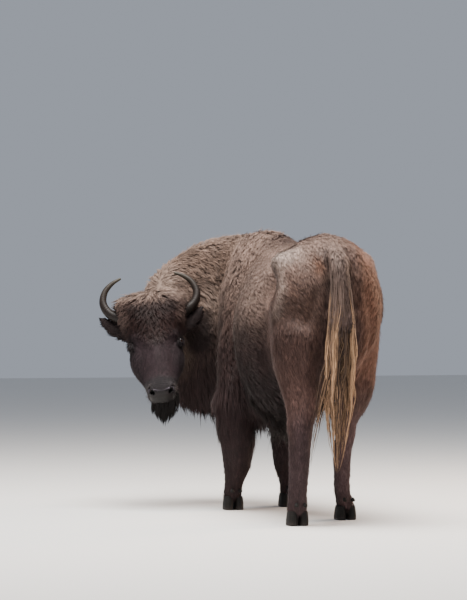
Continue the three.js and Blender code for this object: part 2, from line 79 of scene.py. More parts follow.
DOWN = np.array([0.0, 0.0, -1.0])
FULL_TURN = 6.2832
BAKE_PATCH = 0.0015


# ---- Small tools ----


def unit(rows: np.ndarray) -> np.ndarray:
    """Rows of vectors scaled to length one."""
    return rows / np.maximum(np.linalg.norm(rows, axis=-1, keepdims=True), 1e-9)


def ease(value: np.ndarray, low: float, high: float) -> np.ndarray:
    """A smooth step from 0 at `low` to 1 at `high`, which may lie below it."""
    share = np.clip((value - low) / (high - low), 0.0, 1.0)
    return share * share * (3.0 - 2.0 * share)


def linear(code: str) -> np.ndarray:
    """Linear red, green and blue of a display colour.

    Args:
        code: six hexadecimal digits.

    Returns:
        Three numbers from 0 to 1.
    """
    display = np.array([int(code[i : i + 2], 16) / 255 for i in (0, 2, 4)])
    return np.where(display > 0.04045, ((display + 0.055) / 1.055) ** 2.4, display / 12.92)


def along(rows: np.ndarray, at: np.ndarray) -> np.ndarray:
    """Reads a table of sections with straight steps between its rows.

    Args:
        rows: one row for each section, with its place in the first column, rising.
        at: the places to read.

    Returns:
        The other columns at each place.
    """
    return np.stack([np.interp(at, rows[:, 0], rows[:, k]) for k in range(1, rows.shape[1])], axis=-1)


def smooth_rows(rows: np.ndarray, count: int) -> np.ndarray:
    """A table read along a curve that passes through its rows.

    Args:
        rows: a table of points or sizes, evenly spaced.
        count: how many rows to return.

    Returns:
        The table with `count` rows.
    """
    place = np.linspace(0, len(rows) - 1, count)
    low = np.clip(place.astype(int), 0, len(rows) - 2)
    share = (place - low)[:, None]
    slope = np.gradient(rows, axis=0)
    a, b, da, db = rows[low], rows[low + 1], slope[low], slope[low + 1]
    s2, s3 = share**2, share**3
    return (2 * s3 - 3 * s2 + 1) * a + (s3 - 2 * s2 + share) * da + (3 * s2 - 2 * s3) * b + (s3 - s2) * db


def make_object(name: str, vertices: np.ndarray, faces: np.ndarray, smooth: bool = True) -> bpy.types.Object:
    """A mesh object at the origin from arrays.

    Args:
        name: the piece's name.
        vertices: places in metres.
        faces: vertex numbers, three or four to a face.
        smooth: whether the faces shade smoothly.

    Returns:
        The object, linked to the scene.
    """
    mesh = bpy.data.meshes.new(name)
    count, corners = faces.shape
    mesh.vertices.add(len(vertices))
    mesh.vertices.foreach_set("co", np.ascontiguousarray(vertices, np.float32).ravel())
    mesh.loops.add(count * corners)
    mesh.loops.foreach_set("vertex_index", np.ascontiguousarray(faces, np.int32).ravel())
    mesh.polygons.add(count)
    mesh.polygons.foreach_set("loop_start", np.arange(0, count * corners, corners, dtype=np.int32))
    mesh.polygons.foreach_set("use_smooth", np.full(count, smooth))
    mesh.update(calc_edges=True)
    made = bpy.data.objects.new(name, mesh)
    bpy.context.scene.collection.objects.link(made)
    return made


def paint(piece: bpy.types.Object, name: str, colours: np.ndarray) -> None:
    """Stores a linear colour at every vertex of a piece.

    Args:
        piece: the object.
        name: the attribute's name.
        colours: one red, green and blue for each vertex.
    """
    layer = piece.data.color_attributes.new(name=name, type="FLOAT_COLOR", domain="POINT")
    filled = np.ones((len(colours), 4), np.float32)
    filled[:, :3] = colours
    layer.data.foreach_set("color", filled.ravel())


def in_box(points: np.ndarray, low: tuple[float, ...], high: tuple[float, ...]) -> np.ndarray:
    """Which points lie inside a box."""
    return ((points > low) & (points < high)).all(axis=1)


def folded(points: np.ndarray) -> np.ndarray:
    """Points with the right side folded over on to the left."""
    return np.abs(points) * (1, 0, 0) + points * (0, 1, 1)


def add_node(tree: bpy.types.NodeTree, kind: str, given: dict) -> bpy.types.Node:
    """Adds a node to a tree and fills its inputs.

    Args:
        tree: a material's or a modifier's tree.
        kind: the node's type.
        given: by the inputs' names or numbers, their values or the outputs that feed them.

    Returns:
        The node.
    """
    node = tree.nodes.new(kind)
    fill(tree, node, given)
    return node


def fill(tree: bpy.types.NodeTree, node: bpy.types.Node, given: dict) -> None:
    """Fills a node's inputs, each with a value or from an output.

    Args:
        tree: the tree that the node is in.
        node: the node.
        given: as for `add_node`.
    """
    for key, value in given.items():
        named = (each for each in node.inputs if each.name == key and each.enabled)
        socket = node.inputs[key] if isinstance(key, int) else next(named)
        if isinstance(value, bpy.types.NodeSocket):
            tree.links.new(value, socket)
        else:
            socket.default_value = value


def normals_of(vertices: np.ndarray, faces: np.ndarray) -> np.ndarray:
    """Normals at the vertices of a triangle mesh.

    Args:
        vertices: their places.
        faces: the triangles' vertices.

    Returns:
        A normal for each vertex.
    """
    corner = vertices[faces]
    flat = np.cross(corner[:, 1] - corner[:, 0], corner[:, 2] - corner[:, 0])
    total = np.stack(
        [np.bincount(faces.ravel(), np.repeat(flat[:, k], 3), len(vertices)) for k in range(3)], axis=1
    )
    return unit(total)


class Net:
    """The edges of a mesh, for spreading values from each vertex to its neighbours."""

    def __init__(self, count: int, faces: np.ndarray) -> None:
        """Finds the edges of `faces` among `count` vertices.

        Args:
            count: how many vertices the mesh has.
            faces: the triangles' vertices.
        """
        sides = np.concatenate([faces[:, [0, 1]], faces[:, [1, 2]], faces[:, [2, 0]]])
        sides = np.sort(sides, axis=1).astype(np.int64)
        keys = np.unique(sides[:, 0] * count + sides[:, 1])
        self.first, self.second = keys // count, keys % count
        self.count = count
        self.degree = np.maximum(np.bincount(np.concatenate([self.first, self.second]), minlength=count), 1)

    def mean(self, values: np.ndarray) -> np.ndarray:
        """The mean of the neighbours' values at every vertex.

        Args:
            values: a row for each vertex.

        Returns:
            A row for each vertex.
        """
        total = [
            np.bincount(self.first, column[self.second], self.count)
            + np.bincount(self.second, column[self.first], self.count)
            for column in values.T
        ]
        return (np.stack(total) / self.degree).T

    def relax(self, values: np.ndarray, rounds: int, share: float | np.ndarray = 0.6) -> np.ndarray:
        """Moves values towards their neighbours' mean.

        Args:
            values: one row for each vertex.
            rounds: how many times.
            share: how far each time, as one number or one for each vertex in a column.

        Returns:
            The smoothed rows.
        """
        for _ in range(rounds):
            values = values + share * (self.mean(values) - values)
        return values

    def haze(self, rng: np.random.Generator, rounds: int, columns: int = 1) -> np.ndarray:
        """Soft random patches over the surface, about -1 to 1.

        Args:
            rng: the source of random numbers.
            rounds: how often the noise is spread, which sets the patches' size.
            columns: how many separate values.

        Returns:
            One row for each vertex.
        """
        noise = self.relax(rng.standard_normal((self.count, columns)), rounds, 0.7)
        return noise / (noise.std(axis=0) * 1.6)


# ---- Stance ----


@dataclass(frozen=True)
class Stance:
    """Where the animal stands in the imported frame, and how its head is turned."""

    shift: tuple[float, float]
    head_at: tuple[float, float, float] = (0.552, -0.725, 0.872)
    turn: float = 165.0
    tip: float = 25.0
    roll: float = 6.5

    @staticmethod
    def read_frame() -> "Stance":
        """Finds the body's place from the left forefoot's two claws.

        Returns:
            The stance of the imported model.
        """
        foot = (0.184, -0.5303)
        corners = np.array([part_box(f"hoof_fore_L_{k}") for k in "ab"])
        middle = (corners[:, 0, :2].min(axis=0) + corners[:, 1, :2].max(axis=0)) / 2
        return Stance(tuple(middle - foot))

    @property
    def origin(self) -> np.ndarray:
        """The body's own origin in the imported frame."""
        return np.array([*self.shift, 0.0])

    @property
    def head(self) -> np.ndarray:
        """The head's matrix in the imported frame.

        Returns:
            A matrix of four rows and four columns.
        """
        place = Matrix.Translation(np.array(self.head_at) + self.origin)
        turned = [
            Matrix.Rotation(math.radians(angle), 4, axis)
            for angle, axis in ((self.turn, "Z"), (-self.roll, "Y"), (-self.tip, "X"))
        ]
        return np.array(place @ turned[0] @ turned[1] @ turned[2])

    def in_body(self, points: np.ndarray) -> np.ndarray:
        """Packed places as places in the body."""
        return points - self.origin

    def in_head(self, points: np.ndarray) -> np.ndarray:
        """Packed places as places in the head, which faces -Y with the origin between the eyes."""
        frame = self.head
        return (points - frame[:3, 3]) @ frame[:3, :3]

    def from_head(self, points: np.ndarray) -> np.ndarray:
        """Places in the head as packed places."""
        frame = self.head
        return points @ frame[:3, :3].T + frame[:3, 3]

    def head_ways(self, vectors: np.ndarray) -> np.ndarray:
        """Directions in the head as packed directions."""
        return vectors @ self.head[:3, :3].T


# ---- Zones of the coat ----


class Zone(Enum):
    """A part of the body whose hair grows in its own way."""

    RUMP = 0
    THIGH = 1
    BARREL = 2
    BELLY = 3
    HUMP = 4
    SHOULDER = 5
    BRISKET = 6
    NECK = 7
    THROAT = 8
    FOREHEAD = 9
    POLL = 10
    FACE = 11
    CHEEK = 12
    LIP = 13
    NOSE = 14
    EAR = 15
    ARM = 16
    SHANK = 17
    DOCK = 18
    CREST = 19


@dataclass(frozen=True)
class Pelt:
    """How the hair grows in one zone, in metres, with the number of tufts on a square metre."""

    depth: float
    length: float
    width: float
    density: float
    curl: float
    hang: float
    stray: float
    lock: float
    frost: float
    tint: str


PELTS = {
    Zone.RUMP: Pelt(0.008, 0.038, 0.0036, 34000, 0.04, 0.0, 0.10, 0.30, 0.38, "523e36"),
    Zone.THIGH: Pelt(0.008, 0.040, 0.0036, 29000, 0.05, 0.1, 0.12, 0.35, 0.28, "4a3631"),
    Zone.BARREL: Pelt(0.010, 0.042, 0.0038, 29000, 0.05, 0.0, 0.13, 0.35, 0.38, "64534b"),
    Zone.BELLY: Pelt(0.013, 0.060, 0.0048, 15000, 0.05, 0.5, 0.20, 0.50, 0.14, "221718"),
    Zone.HUMP: Pelt(0.018, 0.054, 0.0038, 27000, 0.06, 0.0, 0.20, 0.40, 0.50, "604f47"),
    Zone.SHOULDER: Pelt(0.016, 0.054, 0.0042, 20000, 0.07, 0.1, 0.20, 0.45, 0.36, "483832"),
    Zone.BRISKET: Pelt(0.026, 0.096, 0.0052, 15000, 0.07, 0.7, 0.22, 0.50, 0.16, "1f1617"),
    Zone.NECK: Pelt(0.018, 0.056, 0.0038, 26000, 0.07, 0.2, 0.22, 0.40, 0.48, "67574e"),
    Zone.CREST: Pelt(0.020, 0.056, 0.0040, 26000, 0.09, 0.0, 0.26, 0.40, 0.50, "43352d"),
    Zone.THROAT: Pelt(0.028, 0.104, 0.0050, 17000, 0.08, 0.8, 0.24, 0.50, 0.18, "251a1b"),
    Zone.FOREHEAD: Pelt(0.016, 0.040, 0.0032, 56000, 0.12, 0.1, 0.30, 0.55, 0.28, "1f110f"),
    Zone.POLL: Pelt(0.020, 0.052, 0.0038, 40000, 0.12, 0.1, 0.32, 0.45, 0.46, "5e4d45"),
    Zone.FACE: Pelt(0.003, 0.015, 0.0024, 90000, 0.05, 0.0, 0.20, 0.30, 0.40, "271d20"),
    Zone.CHEEK: Pelt(0.006, 0.026, 0.0030, 58000, 0.08, 0.1, 0.26, 0.45, 0.34, "251d20"),
    Zone.LIP: Pelt(0.0015, 0.009, 0.0020, 80000, 0.03, 0.0, 0.14, 0.20, 0.24, "1e1a1c"),
    Zone.NOSE: Pelt(0.0, 0.004, 0.0015, 0, 0.0, 0.0, 0.0, 0.0, 0.0, "171415"),
    Zone.EAR: Pelt(0.002, 0.022, 0.0028, 90000, 0.06, 0.30, 0.20, 0.35, 0.38, "221818"),
    Zone.ARM: Pelt(0.011, 0.056, 0.0044, 26000, 0.07, 0.6, 0.20, 0.50, 0.30, "403233"),
    Zone.SHANK: Pelt(0.006, 0.028, 0.0036, 29000, 0.05, 0.2, 0.14, 0.35, 0.28, "3c2e2f"),
    Zone.DOCK: Pelt(0.012, 0.046, 0.0038, 38000, 0.06, 0.3, 0.16, 0.45, 0.44, "4c3e39"),
}


LIES = {
    Zone.RUMP: (0, 0.85, -0.55),
    Zone.THIGH: (0, 0.45, -0.90),
    Zone.BARREL: (0, 0.90, -0.45),
    Zone.BELLY: (0, 0.9, -0.3),
    Zone.HUMP: (0, 0.75, -0.62),
    Zone.SHOULDER: (0, 0.55, -0.85),
    Zone.BRISKET: (0, 0.25, -1),
    Zone.ARM: (0, 0.30, -1),
    Zone.SHANK: (0, 0.15, -1),
    Zone.DOCK: (0, 0.35, -1),
}
HEAD_ZONES = (Zone.FOREHEAD, Zone.POLL, Zone.FACE, Zone.CHEEK, Zone.LIP, Zone.NOSE, Zone.EAR)


def pelt_values(field_name: str) -> np.ndarray:
    """One of the pelts' values for every zone in turn; tints come as linear colours."""
    values = [getattr(PELTS[zone], field_name) for zone in Zone]
    return np.array([linear(value) if field_name == "tint" else value for value in values])


@dataclass(frozen=True)
class Form:
    """A soft swelling or hollow: its place, its reach on three axes, and how far it moves the hide."""

    at: tuple[float, float, float]
    reach: tuple[float, float, float]
    rise: float

    def mirrored(self, side: float) -> "Form":
        """The same form on one side, which is 1 for the left and -1 for the right."""
        return replace(self, at=(self.at[0] * side, *self.at[1:]))

    def weight(self, points: np.ndarray) -> np.ndarray:
        """How strongly the form acts at each point, up to 1."""
        return np.exp(-(((points - np.array(self.at)) / np.array(self.reach)) ** 2).sum(axis=1))


@dataclass(frozen=True)
class Crease:
    """A soft ridge or furrow along a line, with its width and how far it moves the hide."""

    line: tuple[tuple[float, float, float], ...]
    width: float
    rise: float

    def mirrored(self, side: float) -> "Crease":
        """The same crease on one side, which is 1 for the left and -1 for the right."""
        return replace(self, line=tuple((x * side, y, z) for x, y, z in self.line))

    def weight(self, points: np.ndarray) -> np.ndarray:
        """How strongly the crease acts at each point, up to 1.

        Args:
            points: places in the same frame as the line.

        Returns:
            A number for each place.
        """
        nearest = np.full(len(points), 9.0)
        for start, end in zip(self.line, self.line[1:]):
            a, run = np.array(start), np.array(end) - np.array(start)
            share = np.clip((points - a) @ run / (run @ run), 0, 1)
            nearest = np.minimum(nearest, np.linalg.norm(points - a - share[:, None] * run, axis=1))
        return np.exp(-((nearest / self.width) ** 2))


def both_sides(*rows: Form | Crease) -> list:
    """Forms or creases of the left side, and then the same on the right."""
    return [row.mirrored(side) for side in SIDES.values() for row in rows]


# In the body: hip bones, the hollows ahead of and under them, thighs, pin bones, ribs and shoulder blades.
BODY_FORMS = both_sides(
    Form((0.212, 0.365, 1.296), (0.058, 0.080, 0.046), 0.020),
    Form((0.275, 0.345, 1.172), (0.070, 0.105, 0.058), -0.034),
    Form((0.235, 0.200, 1.215), (0.090, 0.085, 0.085), -0.030),
    Form((0.270, 0.440, 0.900), (0.080, 0.110, 0.140), 0.008),
    Form((0.200, 0.600, 0.980), (0.060, 0.060, 0.130), 0.008),
    Form((0.086, 0.560, 1.335), (0.040, 0.055, 0.040), 0.012),
    Form((0.160, 0.500, 1.330), (0.050, 0.070, 0.050), -0.008),
    Form((0.285, 0.030, 1.060), (0.100, 0.110, 0.220), 0.014),
    Form((0.225, -0.560, 1.120), (0.100, 0.120, 0.200), 0.012),
)
# The flank, the hip ridge, the stifle, the seam of the thigh, the shoulder, the loin, the tail's side, the spine.
BODY_CREASES = both_sides(
    Crease(((0.21, 0.14, 1.31), (0.29, 0.13, 1.12), (0.28, 0.20, 0.88)), 0.036, -0.012),
    Crease(((0.215, 0.37, 1.28), (0.25, 0.47, 1.15), (0.27, 0.43, 1.03)), 0.030, 0.008),
    Crease(((0.27, 0.16, 0.96), (0.23, 0.13, 0.72)), 0.040, -0.016),
    Crease(((0.14, 0.63, 1.16), (0.18, 0.58, 0.92), (0.18, 0.48, 0.72)), 0.024, -0.012),
    Crease(((0.23, -0.26, 1.28), (0.27, -0.32, 0.98), (0.22, -0.42, 0.74)), 0.045, -0.015),
    Crease(((0.07, 0.30, 1.42), (0.08, 0.05, 1.38)), 0.034, -0.008),
    Crease(((0.062, 0.570, 1.350), (0.066, 0.640, 1.250), (0.082, 0.640, 1.080)), 0.022, -0.018),
) + [Crease(((0.0, 0.55, 1.40), (0.0, 0.30, 1.43), (0.0, 0.0, 1.41), (0.0, -0.25, 1.45)), 0.022, 0.008)]
# In the head: brows, hollows ahead of the eyes, cheek bones, jaws, nostril wings, the bridge and the lower lip.
HEAD_FORMS = both_sides(
    Form((0.104, -0.050, 0.036), (0.034, 0.026, 0.018), 0.007),
    Form((0.090, -0.066, -0.042), (0.026, 0.030, 0.038), -0.006),
    Form((0.126, 0.000, -0.086), (0.030, 0.035, 0.058), 0.006),
    Form((0.142, 0.105, -0.030), (0.050, 0.060, 0.080), 0.008),
    Form((0.082, -0.030, -0.182), (0.028, 0.035, 0.042), -0.007),
    Form((0.056, -0.052, -0.262), (0.022, 0.022, 0.018), 0.007),
    Form((0.080, -0.060, -0.130), (0.022, 0.034, 0.050), -0.007),
) + [
    Form((0.0, -0.090, -0.100), (0.034, 0.050, 0.110), 0.010),
    Form((0.0, 0.045, -0.330), (0.05, 0.02, 0.03), 0.004),
]
MOUTH = Crease(
    ((0.0, 0.012, -0.336), (0.050, 0.020, -0.326), (0.078, 0.030, -0.296), (0.088, 0.044, -0.258)), 0.0045, -0.008
)
# The mouth, the upper lip, folds at its corner, and folds ahead of, under and over the eye and on the cheek.
HEAD_CREASES = both_sides(
    MOUTH,
    Crease(((0.0, 0.000, -0.336), (0.052, 0.008, -0.322), (0.076, 0.016, -0.290)), 0.0075, 0.0035),
    Crease(((0.088, 0.030, -0.262), (0.092, 0.008, -0.232)), 0.0060, -0.0035),
    Crease(((0.096, 0.050, -0.262), (0.104, 0.060, -0.228)), 0.0060, -0.0030),
    Crease(((0.108, -0.036, -0.006), (0.094, -0.058, -0.040), (0.084, -0.060, -0.085)), 0.0070, -0.0045),
    Crease(((0.118, -0.034, -0.030), (0.130, -0.012, -0.036), (0.140, 0.014, -0.026)), 0.0050, -0.0030),
    Crease(((0.104, -0.044, 0.024), (0.122, -0.026, 0.036), (0.138, 0.004, 0.034)), 0.0045, -0.0040),
    Crease(((0.148, 0.040, 0.010), (0.150, 0.070, -0.060), (0.130, 0.080, -0.130)), 0.0120, -0.0050),
)


@dataclass(frozen=True)
class Eyelids:
    """The lids round one eye, as a shell over the eyeball with an almond opening."""

    at: tuple[float, float, float] = (0.126, -0.006, 0.002)
    radius: float = 0.0200
    gaze: tuple[float, float, float] = (0.80, -0.58, 0.06)
    lid: float = 0.0026
    wide: float = 0.86
    above: float = 0.44
    below: float = 0.38

    def frame(self, side: float) -> tuple[np.ndarray, ...]:
        """The eye's middle, its gaze, and the ways along and across the lids, for one side.

        Args:
            side: 1 for the left eye and -1 for the right.

        Returns:
            A place and three directions in the head.
        """
        middle = np.array(self.at) * (side, 1, 1)
        gaze = unit(np.array([self.gaze]) * (side, 1, 1))[0]
        level = unit(np.cross((0.0, 0.0, 1.0), gaze)[None])[0]
        return middle, gaze, level, np.cross(gaze, level)

    def lashes(self, side: float, swing: np.ndarray) -> tuple[np.ndarray, np.ndarray]:
        """Roots and ways of the upper lid's lashes.

        Args:
            side: 1 for the left eye and -1 for the right.
            swing: the lashes' places along the lid, as angles.

        Returns:
            Places and directions in the head.
        """
        middle, gaze, level, rise = self.frame(side)
        lift = self.above * (1.04 - (swing / self.wide) ** 2) - 0.05 * swing * side
        way = unit(gaze + np.tan(swing)[:, None] * level + np.tan(lift)[:, None] * rise)
        return middle + way * (self.radius + self.lid - 0.0006), unit(way + 0.15 * rise - 0.25 * gaze)

    def close(self, head: np.ndarray, side: float) -> np.ndarray:
        """Moves the hide near one eye on to its lids.

        Args:
            head: places in the head.
            side: 1 for the left eye and -1 for the right.

        Returns:
            The places with the lids formed.
        """
        middle, gaze, level, rise = self.frame(side)
        near = np.linalg.norm(head - middle, axis=1) < 0.060
        arm = head[near] - middle
        far = np.linalg.norm(arm, axis=1)
        way = arm / far[:, None]
        ahead = np.clip(way @ gaze, -1, 1)
        swing, lift = np.arctan2(way @ level, ahead), np.arctan2(way @ rise, ahead)
        tall = np.where(lift > 0, self.above, self.below)
        gap = 1 - (swing / self.wide) ** 2 - np.abs(lift + 0.05 * swing * side) / tall
        gap = np.where(ahead > 0, gap, -3.0)
        shell = self.radius + self.lid + 0.0016 * np.exp(-(((gap + 0.14) / 0.12) ** 2))
        shell = shell - 0.0012 * np.exp(-(((gap + 0.62) / 0.16) ** 2)) * (lift > 0)
        target = shell + (self.radius - 0.0060 - shell) * ease(gap, -0.05, 0.10)
        close = ease(np.arccos(ahead), math.radians(96), math.radians(52))
        size = np.maximum(far, np.where(ahead > -0.2, self.radius + 0.0015, 0)) * (1 - close) + target * close
        out = head.copy()
        out[near] = middle + way * size[:, None]
        return out


@dataclass(frozen=True)
class Nostrils:
    """Two comma-shaped openings with raised wings."""

    at: tuple[float, float, float] = (0.052, -0.044, -0.285)
    aim: tuple[float, float, float] = (0.42, -0.76, -0.50)
    long: float = 0.0225
    short: float = 0.0130
    deep: float = 0.022
    wing: float = 0.0042

    def open(self, head: np.ndarray, normals: np.ndarray, side: float) -> tuple[np.ndarray, np.ndarray]:
        """Sinks one nostril.

        Args:
            head: places in the head.
            normals: the hide's normals in the head.
            side: 1 for the left and -1 for the right.

        Returns:
            The places with the nostril formed, and how far inside it each one lies, up to 1.
        """
        aim = unit(np.array([self.aim]) * (side, 1, 1))[0]
        tall = np.array((0.40 * side, 0.0, 0.92))
        tall = unit((tall - aim * (tall @ aim))[None])[0]
        cross = np.cross(aim, tall)
        arm = head - np.array(self.at) * (side, 1, 1)
        up = arm @ tall
        bow = (arm @ cross) * side - 0.10 * (up / self.long) ** 2 * self.short * 3
        ring = np.hypot(up / self.long, bow / self.short)
        front = ease(np.abs(arm @ aim), 0.034, 0.022)
        hole = np.clip(1 - ring**2, 0, 1) ** 0.6 * front
        rim = np.exp(-(((ring - 1.30) / 0.24) ** 2)) * front * (0.55 + 0.45 * np.sign(up + 0.004))
        moved = head - aim * (self.deep * hole)[:, None] + normals * (self.wing * rim)[:, None]
        return moved, ease(ring, 1.12, 0.80) * front


class Hide:
    """The one skin over all the flesh: its surface, its zones, and the way the hair lies on it."""

    FLESH = ("trunk", "neck", "head", "muzzle", "tail", "ear_L", "ear_R")
    LEGS = ("foreleg_L", "foreleg_R", "hindleg_L", "hindleg_R")
    VOXEL = 0.013
    EAR_GROWTH, PLUG_GROWTH = 0.004, 0.001

    def __init__(self, nodes: dict[str, bpy.types.Object], stance: Stance) -> None:
        """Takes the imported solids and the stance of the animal.

        Args:
            nodes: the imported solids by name.
            stance: where the body and the head stand.
        """
        self.nodes = nodes
        self.stance = stance
        self.rng = np.random.default_rng(41)
        self.vertices = np.zeros((0, 3))
        self.faces = np.zeros((0, 3), int)

    # -- Surface --

    def solid(self, name: str, grow: float = 0.0) -> tuple[np.ndarray, np.ndarray]:
        """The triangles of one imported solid.

        Args:
            name: the node.
            grow: how far its surface moves out.

        Returns:
            Vertices and faces.
        """
        mesh = self.nodes[name].data
        places = np.empty(len(mesh.vertices) * 3, np.float32)
        mesh.vertices.foreach_get("co", places)
        mesh.calc_loop_triangles()
        corners = np.empty(len(mesh.loop_triangles) * 3, np.int32)
        mesh.loop_triangles.foreach_get("vertices", corners)
        places = places.reshape(-1, 3).astype(float)
        keys, index = np.unique(np.round(places, 5), axis=0, return_inverse=True)
        faces = index.ravel()[corners].reshape(-1, 3)
        return (keys + grow * normals_of(keys, faces) if grow else keys), faces

    def shell(self) -> None:
        """Joins the flesh into one closed surface, with the head and face in finer faces."""
        parts = [self.solid(k, self.EAR_GROWTH if k.startswith("ear") else 0.0) for k in self.FLESH + self.LEGS]
        self.label = np.concatenate([np.full(len(faces), k) for k, (_, faces) in enumerate(parts)])
        plugs = [self.solid(name, self.PLUG_GROWTH) for name in ("eye_L", "eye_R")] + self.horn_plugs()
        places, faces, start = [], [], 0
        for vertices, triangles in parts + plugs:
            places.append(vertices)
            faces.append(triangles + start)
            start += len(vertices)
        places, faces = np.concatenate(places), np.concatenate(faces)
        self.tree = BVHTree.FromPolygons(places.tolist(), faces[: len(self.label)].tolist())
        rough = make_object("rough", places, faces)
        remesh = rough.modifiers.new("remesh", "REMESH")
        remesh.mode, remesh.voxel_size = "VOXEL", self.VOXEL
        made = bpy.data.meshes.new_from_object(rough.evaluated_get(bpy.context.evaluated_depsgraph_get()))
        bpy.data.objects.remove(rough)
        net = bmesh.new()
        net.from_mesh(made)
        bpy.data.meshes.remove(made)
        for reach in range(3):
            self.split(net, reach)
        bmesh.ops.triangulate(net, faces=net.faces[:])
        net.verts.index_update()
        self.vertices = np.array([v.co for v in net.verts])
        self.faces = np.array([[v.index for v in f.verts] for f in net.faces])
        net.free()

    def horn_plugs(self) -> list[tuple[np.ndarray, np.ndarray]]:
        """Balls that fill the solids' pockets behind the horns' roots.

        Returns:
            Vertices and faces of each ball.
        """
        plugs = []
        for side in SIDES.values():
            for x, z in ((0.096, 0.171), (0.122, 0.175), (0.146, 0.179)):
                ball = bmesh.new()
                bmesh.ops.create_icosphere(ball, subdivisions=3, radius=0.038)
                places = np.array([v.co for v in ball.verts]) + (x * side, 0.011, z)
                faces = np.array([[v.index for v in f.verts] for f in ball.faces])
                ball.free()
                plugs.append((self.stance.from_head(places), faces))
        return plugs

    def split(self, net: bmesh.types.BMesh, level: int) -> None:
        """Halves the faces of the head, then of the face, then round eyes and nostrils.

        Args:
            net: the surface.
            level: which of the three regions.
        """
        middles = self.stance.in_head(np.array([f.calc_center_median() for f in net.faces]))
        if level == 0:
            chosen = in_box(middles, (-0.30, -0.16, -0.36), (0.30, 0.16, 0.33))
        elif level == 1:
            chosen = in_box(middles, (-0.13, -0.16, -0.36), (0.13, 0.09, -0.16))
            chosen |= self.eye_distance(middles) < 0.062
        else:
            chosen = self.eye_distance(middles) < 0.034
            for side in SIDES.values():
                chosen |= np.linalg.norm((middles - (0.045 * side, -0.060, -0.272)) / (1, 1, 1.2), axis=1) < 0.034
        faces = [face for face, inside in zip(net.faces, chosen) if inside]
        edges = list({edge for face in faces for edge in face.edges})
        bmesh.ops.subdivide_edges(net, edges=edges, cuts=1, use_grid_fill=True)

    @staticmethod
    def eye_distance(points: np.ndarray) -> np.ndarray:
        """The distance from each point in the head to the nearer eye's middle."""
        return np.linalg.norm(folded(points) - Eyelids.at, axis=1)

    def build(self) -> None:
        """Makes the surface, its zones and forms, and lays the hair."""
        self.shell()
        self.net = Net(len(self.vertices), self.faces)
        self.read_zones()
        soft = 0.62 * (1 - 0.75 * self.zone_weight(Zone.EAR, Zone.LIP, Zone.NOSE))
        self.vertices = self.net.relax(self.vertices, 14, soft[:, None])
        self.sink()
        self.sculpt()
        self.normals = normals_of(self.vertices, self.faces)
        self.lay_hair()
        self.colour()
        LOG.info("hide: %d vertices, %d triangles", len(self.vertices), len(self.faces))

    # -- Zones --

    def read_zones(self) -> None:
        """Gives every vertex a soft share in each zone, from the solid under it and its place."""
        nearest = np.array([self.label[self.tree.find_nearest(place)[2]] for place in self.vertices.tolist()])
        body, head = self.stance.in_body(self.vertices), self.stance.in_head(self.vertices)
        names = self.FLESH + self.LEGS
        zone = np.full(len(self.vertices), Zone.BARREL.value)

        def put(name: str, choice: Zone, where: np.ndarray | bool = True) -> None:
            """Sets a zone on the vertices of one solid where a test holds."""
            zone[(nearest == names.index(name)) & where] = choice.value

        drift = self.net.haze(self.rng, 50, 2) * 0.09
        y, z = body[:, 1] + drift[:, 0], body[:, 2] + drift[:, 1]
        put("trunk", Zone.BELLY, z < 0.70)
        put("trunk", Zone.RUMP, (y > 0.16) & (z >= 0.98))
        put("trunk", Zone.THIGH, (y > 0.16) & (z < 0.98) & ((z > 0.78) | (y > 0.30)))
        put("trunk", Zone.HUMP, (y <= -0.26) & (z >= 1.10))
        put("trunk", Zone.SHOULDER, (y <= -0.26) & (z < 1.10) & (z > 0.74))
        put("trunk", Zone.BRISKET, (y <= -0.30) & (z <= 0.74))
        put("neck", Zone.NECK)
        put("neck", Zone.CREST, z > 1.14)
        put("neck", Zone.THROAT, z < 0.80)
        put("tail", Zone.DOCK)
        for side in "LR":
            put(f"ear_{side}", Zone.EAR)
            put(f"foreleg_{side}", Zone.ARM)
            put(f"foreleg_{side}", Zone.SHANK, z < 0.40)
            put(f"hindleg_{side}", Zone.THIGH)
            put(f"hindleg_{side}", Zone.SHANK, z < 0.50)
        across, front, up = np.abs(head[:, 0]), head[:, 1], head[:, 2]
        for name in ("head", "muzzle"):
            put(name, Zone.CHEEK)
            put(name, Zone.FACE, (front < -0.035) & (across < 0.12))
            put(name, Zone.FOREHEAD, (up > 0.055 - 0.075 * ease(across, 0.10, 0.02)) & (front < 0.05))
            put(name, Zone.POLL, (up > 0.235) | ((up > 0.12) & (front > 0.05)))
            put(name, Zone.LIP, up < -0.215)
            put(name, Zone.NOSE, (across < 0.064) & (front < 0.006) & (up < -0.274 - 0.020 * (1 - across / 0.06)))
        one = np.eye(len(Zone))[zone]
        fine = self.zone_fineness()
        self.shares = self.net.relax(one, 42, (0.7 * (1 - 0.95 * fine))[:, None])
        self.zone = zone

    def zone_fineness(self) -> np.ndarray:
        """1 on the face, where zones meet sharply, and 0 on the body."""
        x, y, z = self.stance.in_head(self.vertices).T
        return ease(z, -0.18, -0.23) * ((np.abs(x) < 0.14) & (y < 0.14) & (z > -0.37))

    def zone_weight(self, *zones: Zone) -> np.ndarray:
        """The share of some zones at every vertex."""
        return self.shares[:, [zone.value for zone in zones]].sum(axis=1)

    def size(self, name: str) -> np.ndarray:
        """One of the pelts' values at every vertex, blended between the zones."""
        return self.shares @ pelt_values(name)

    # -- Form --

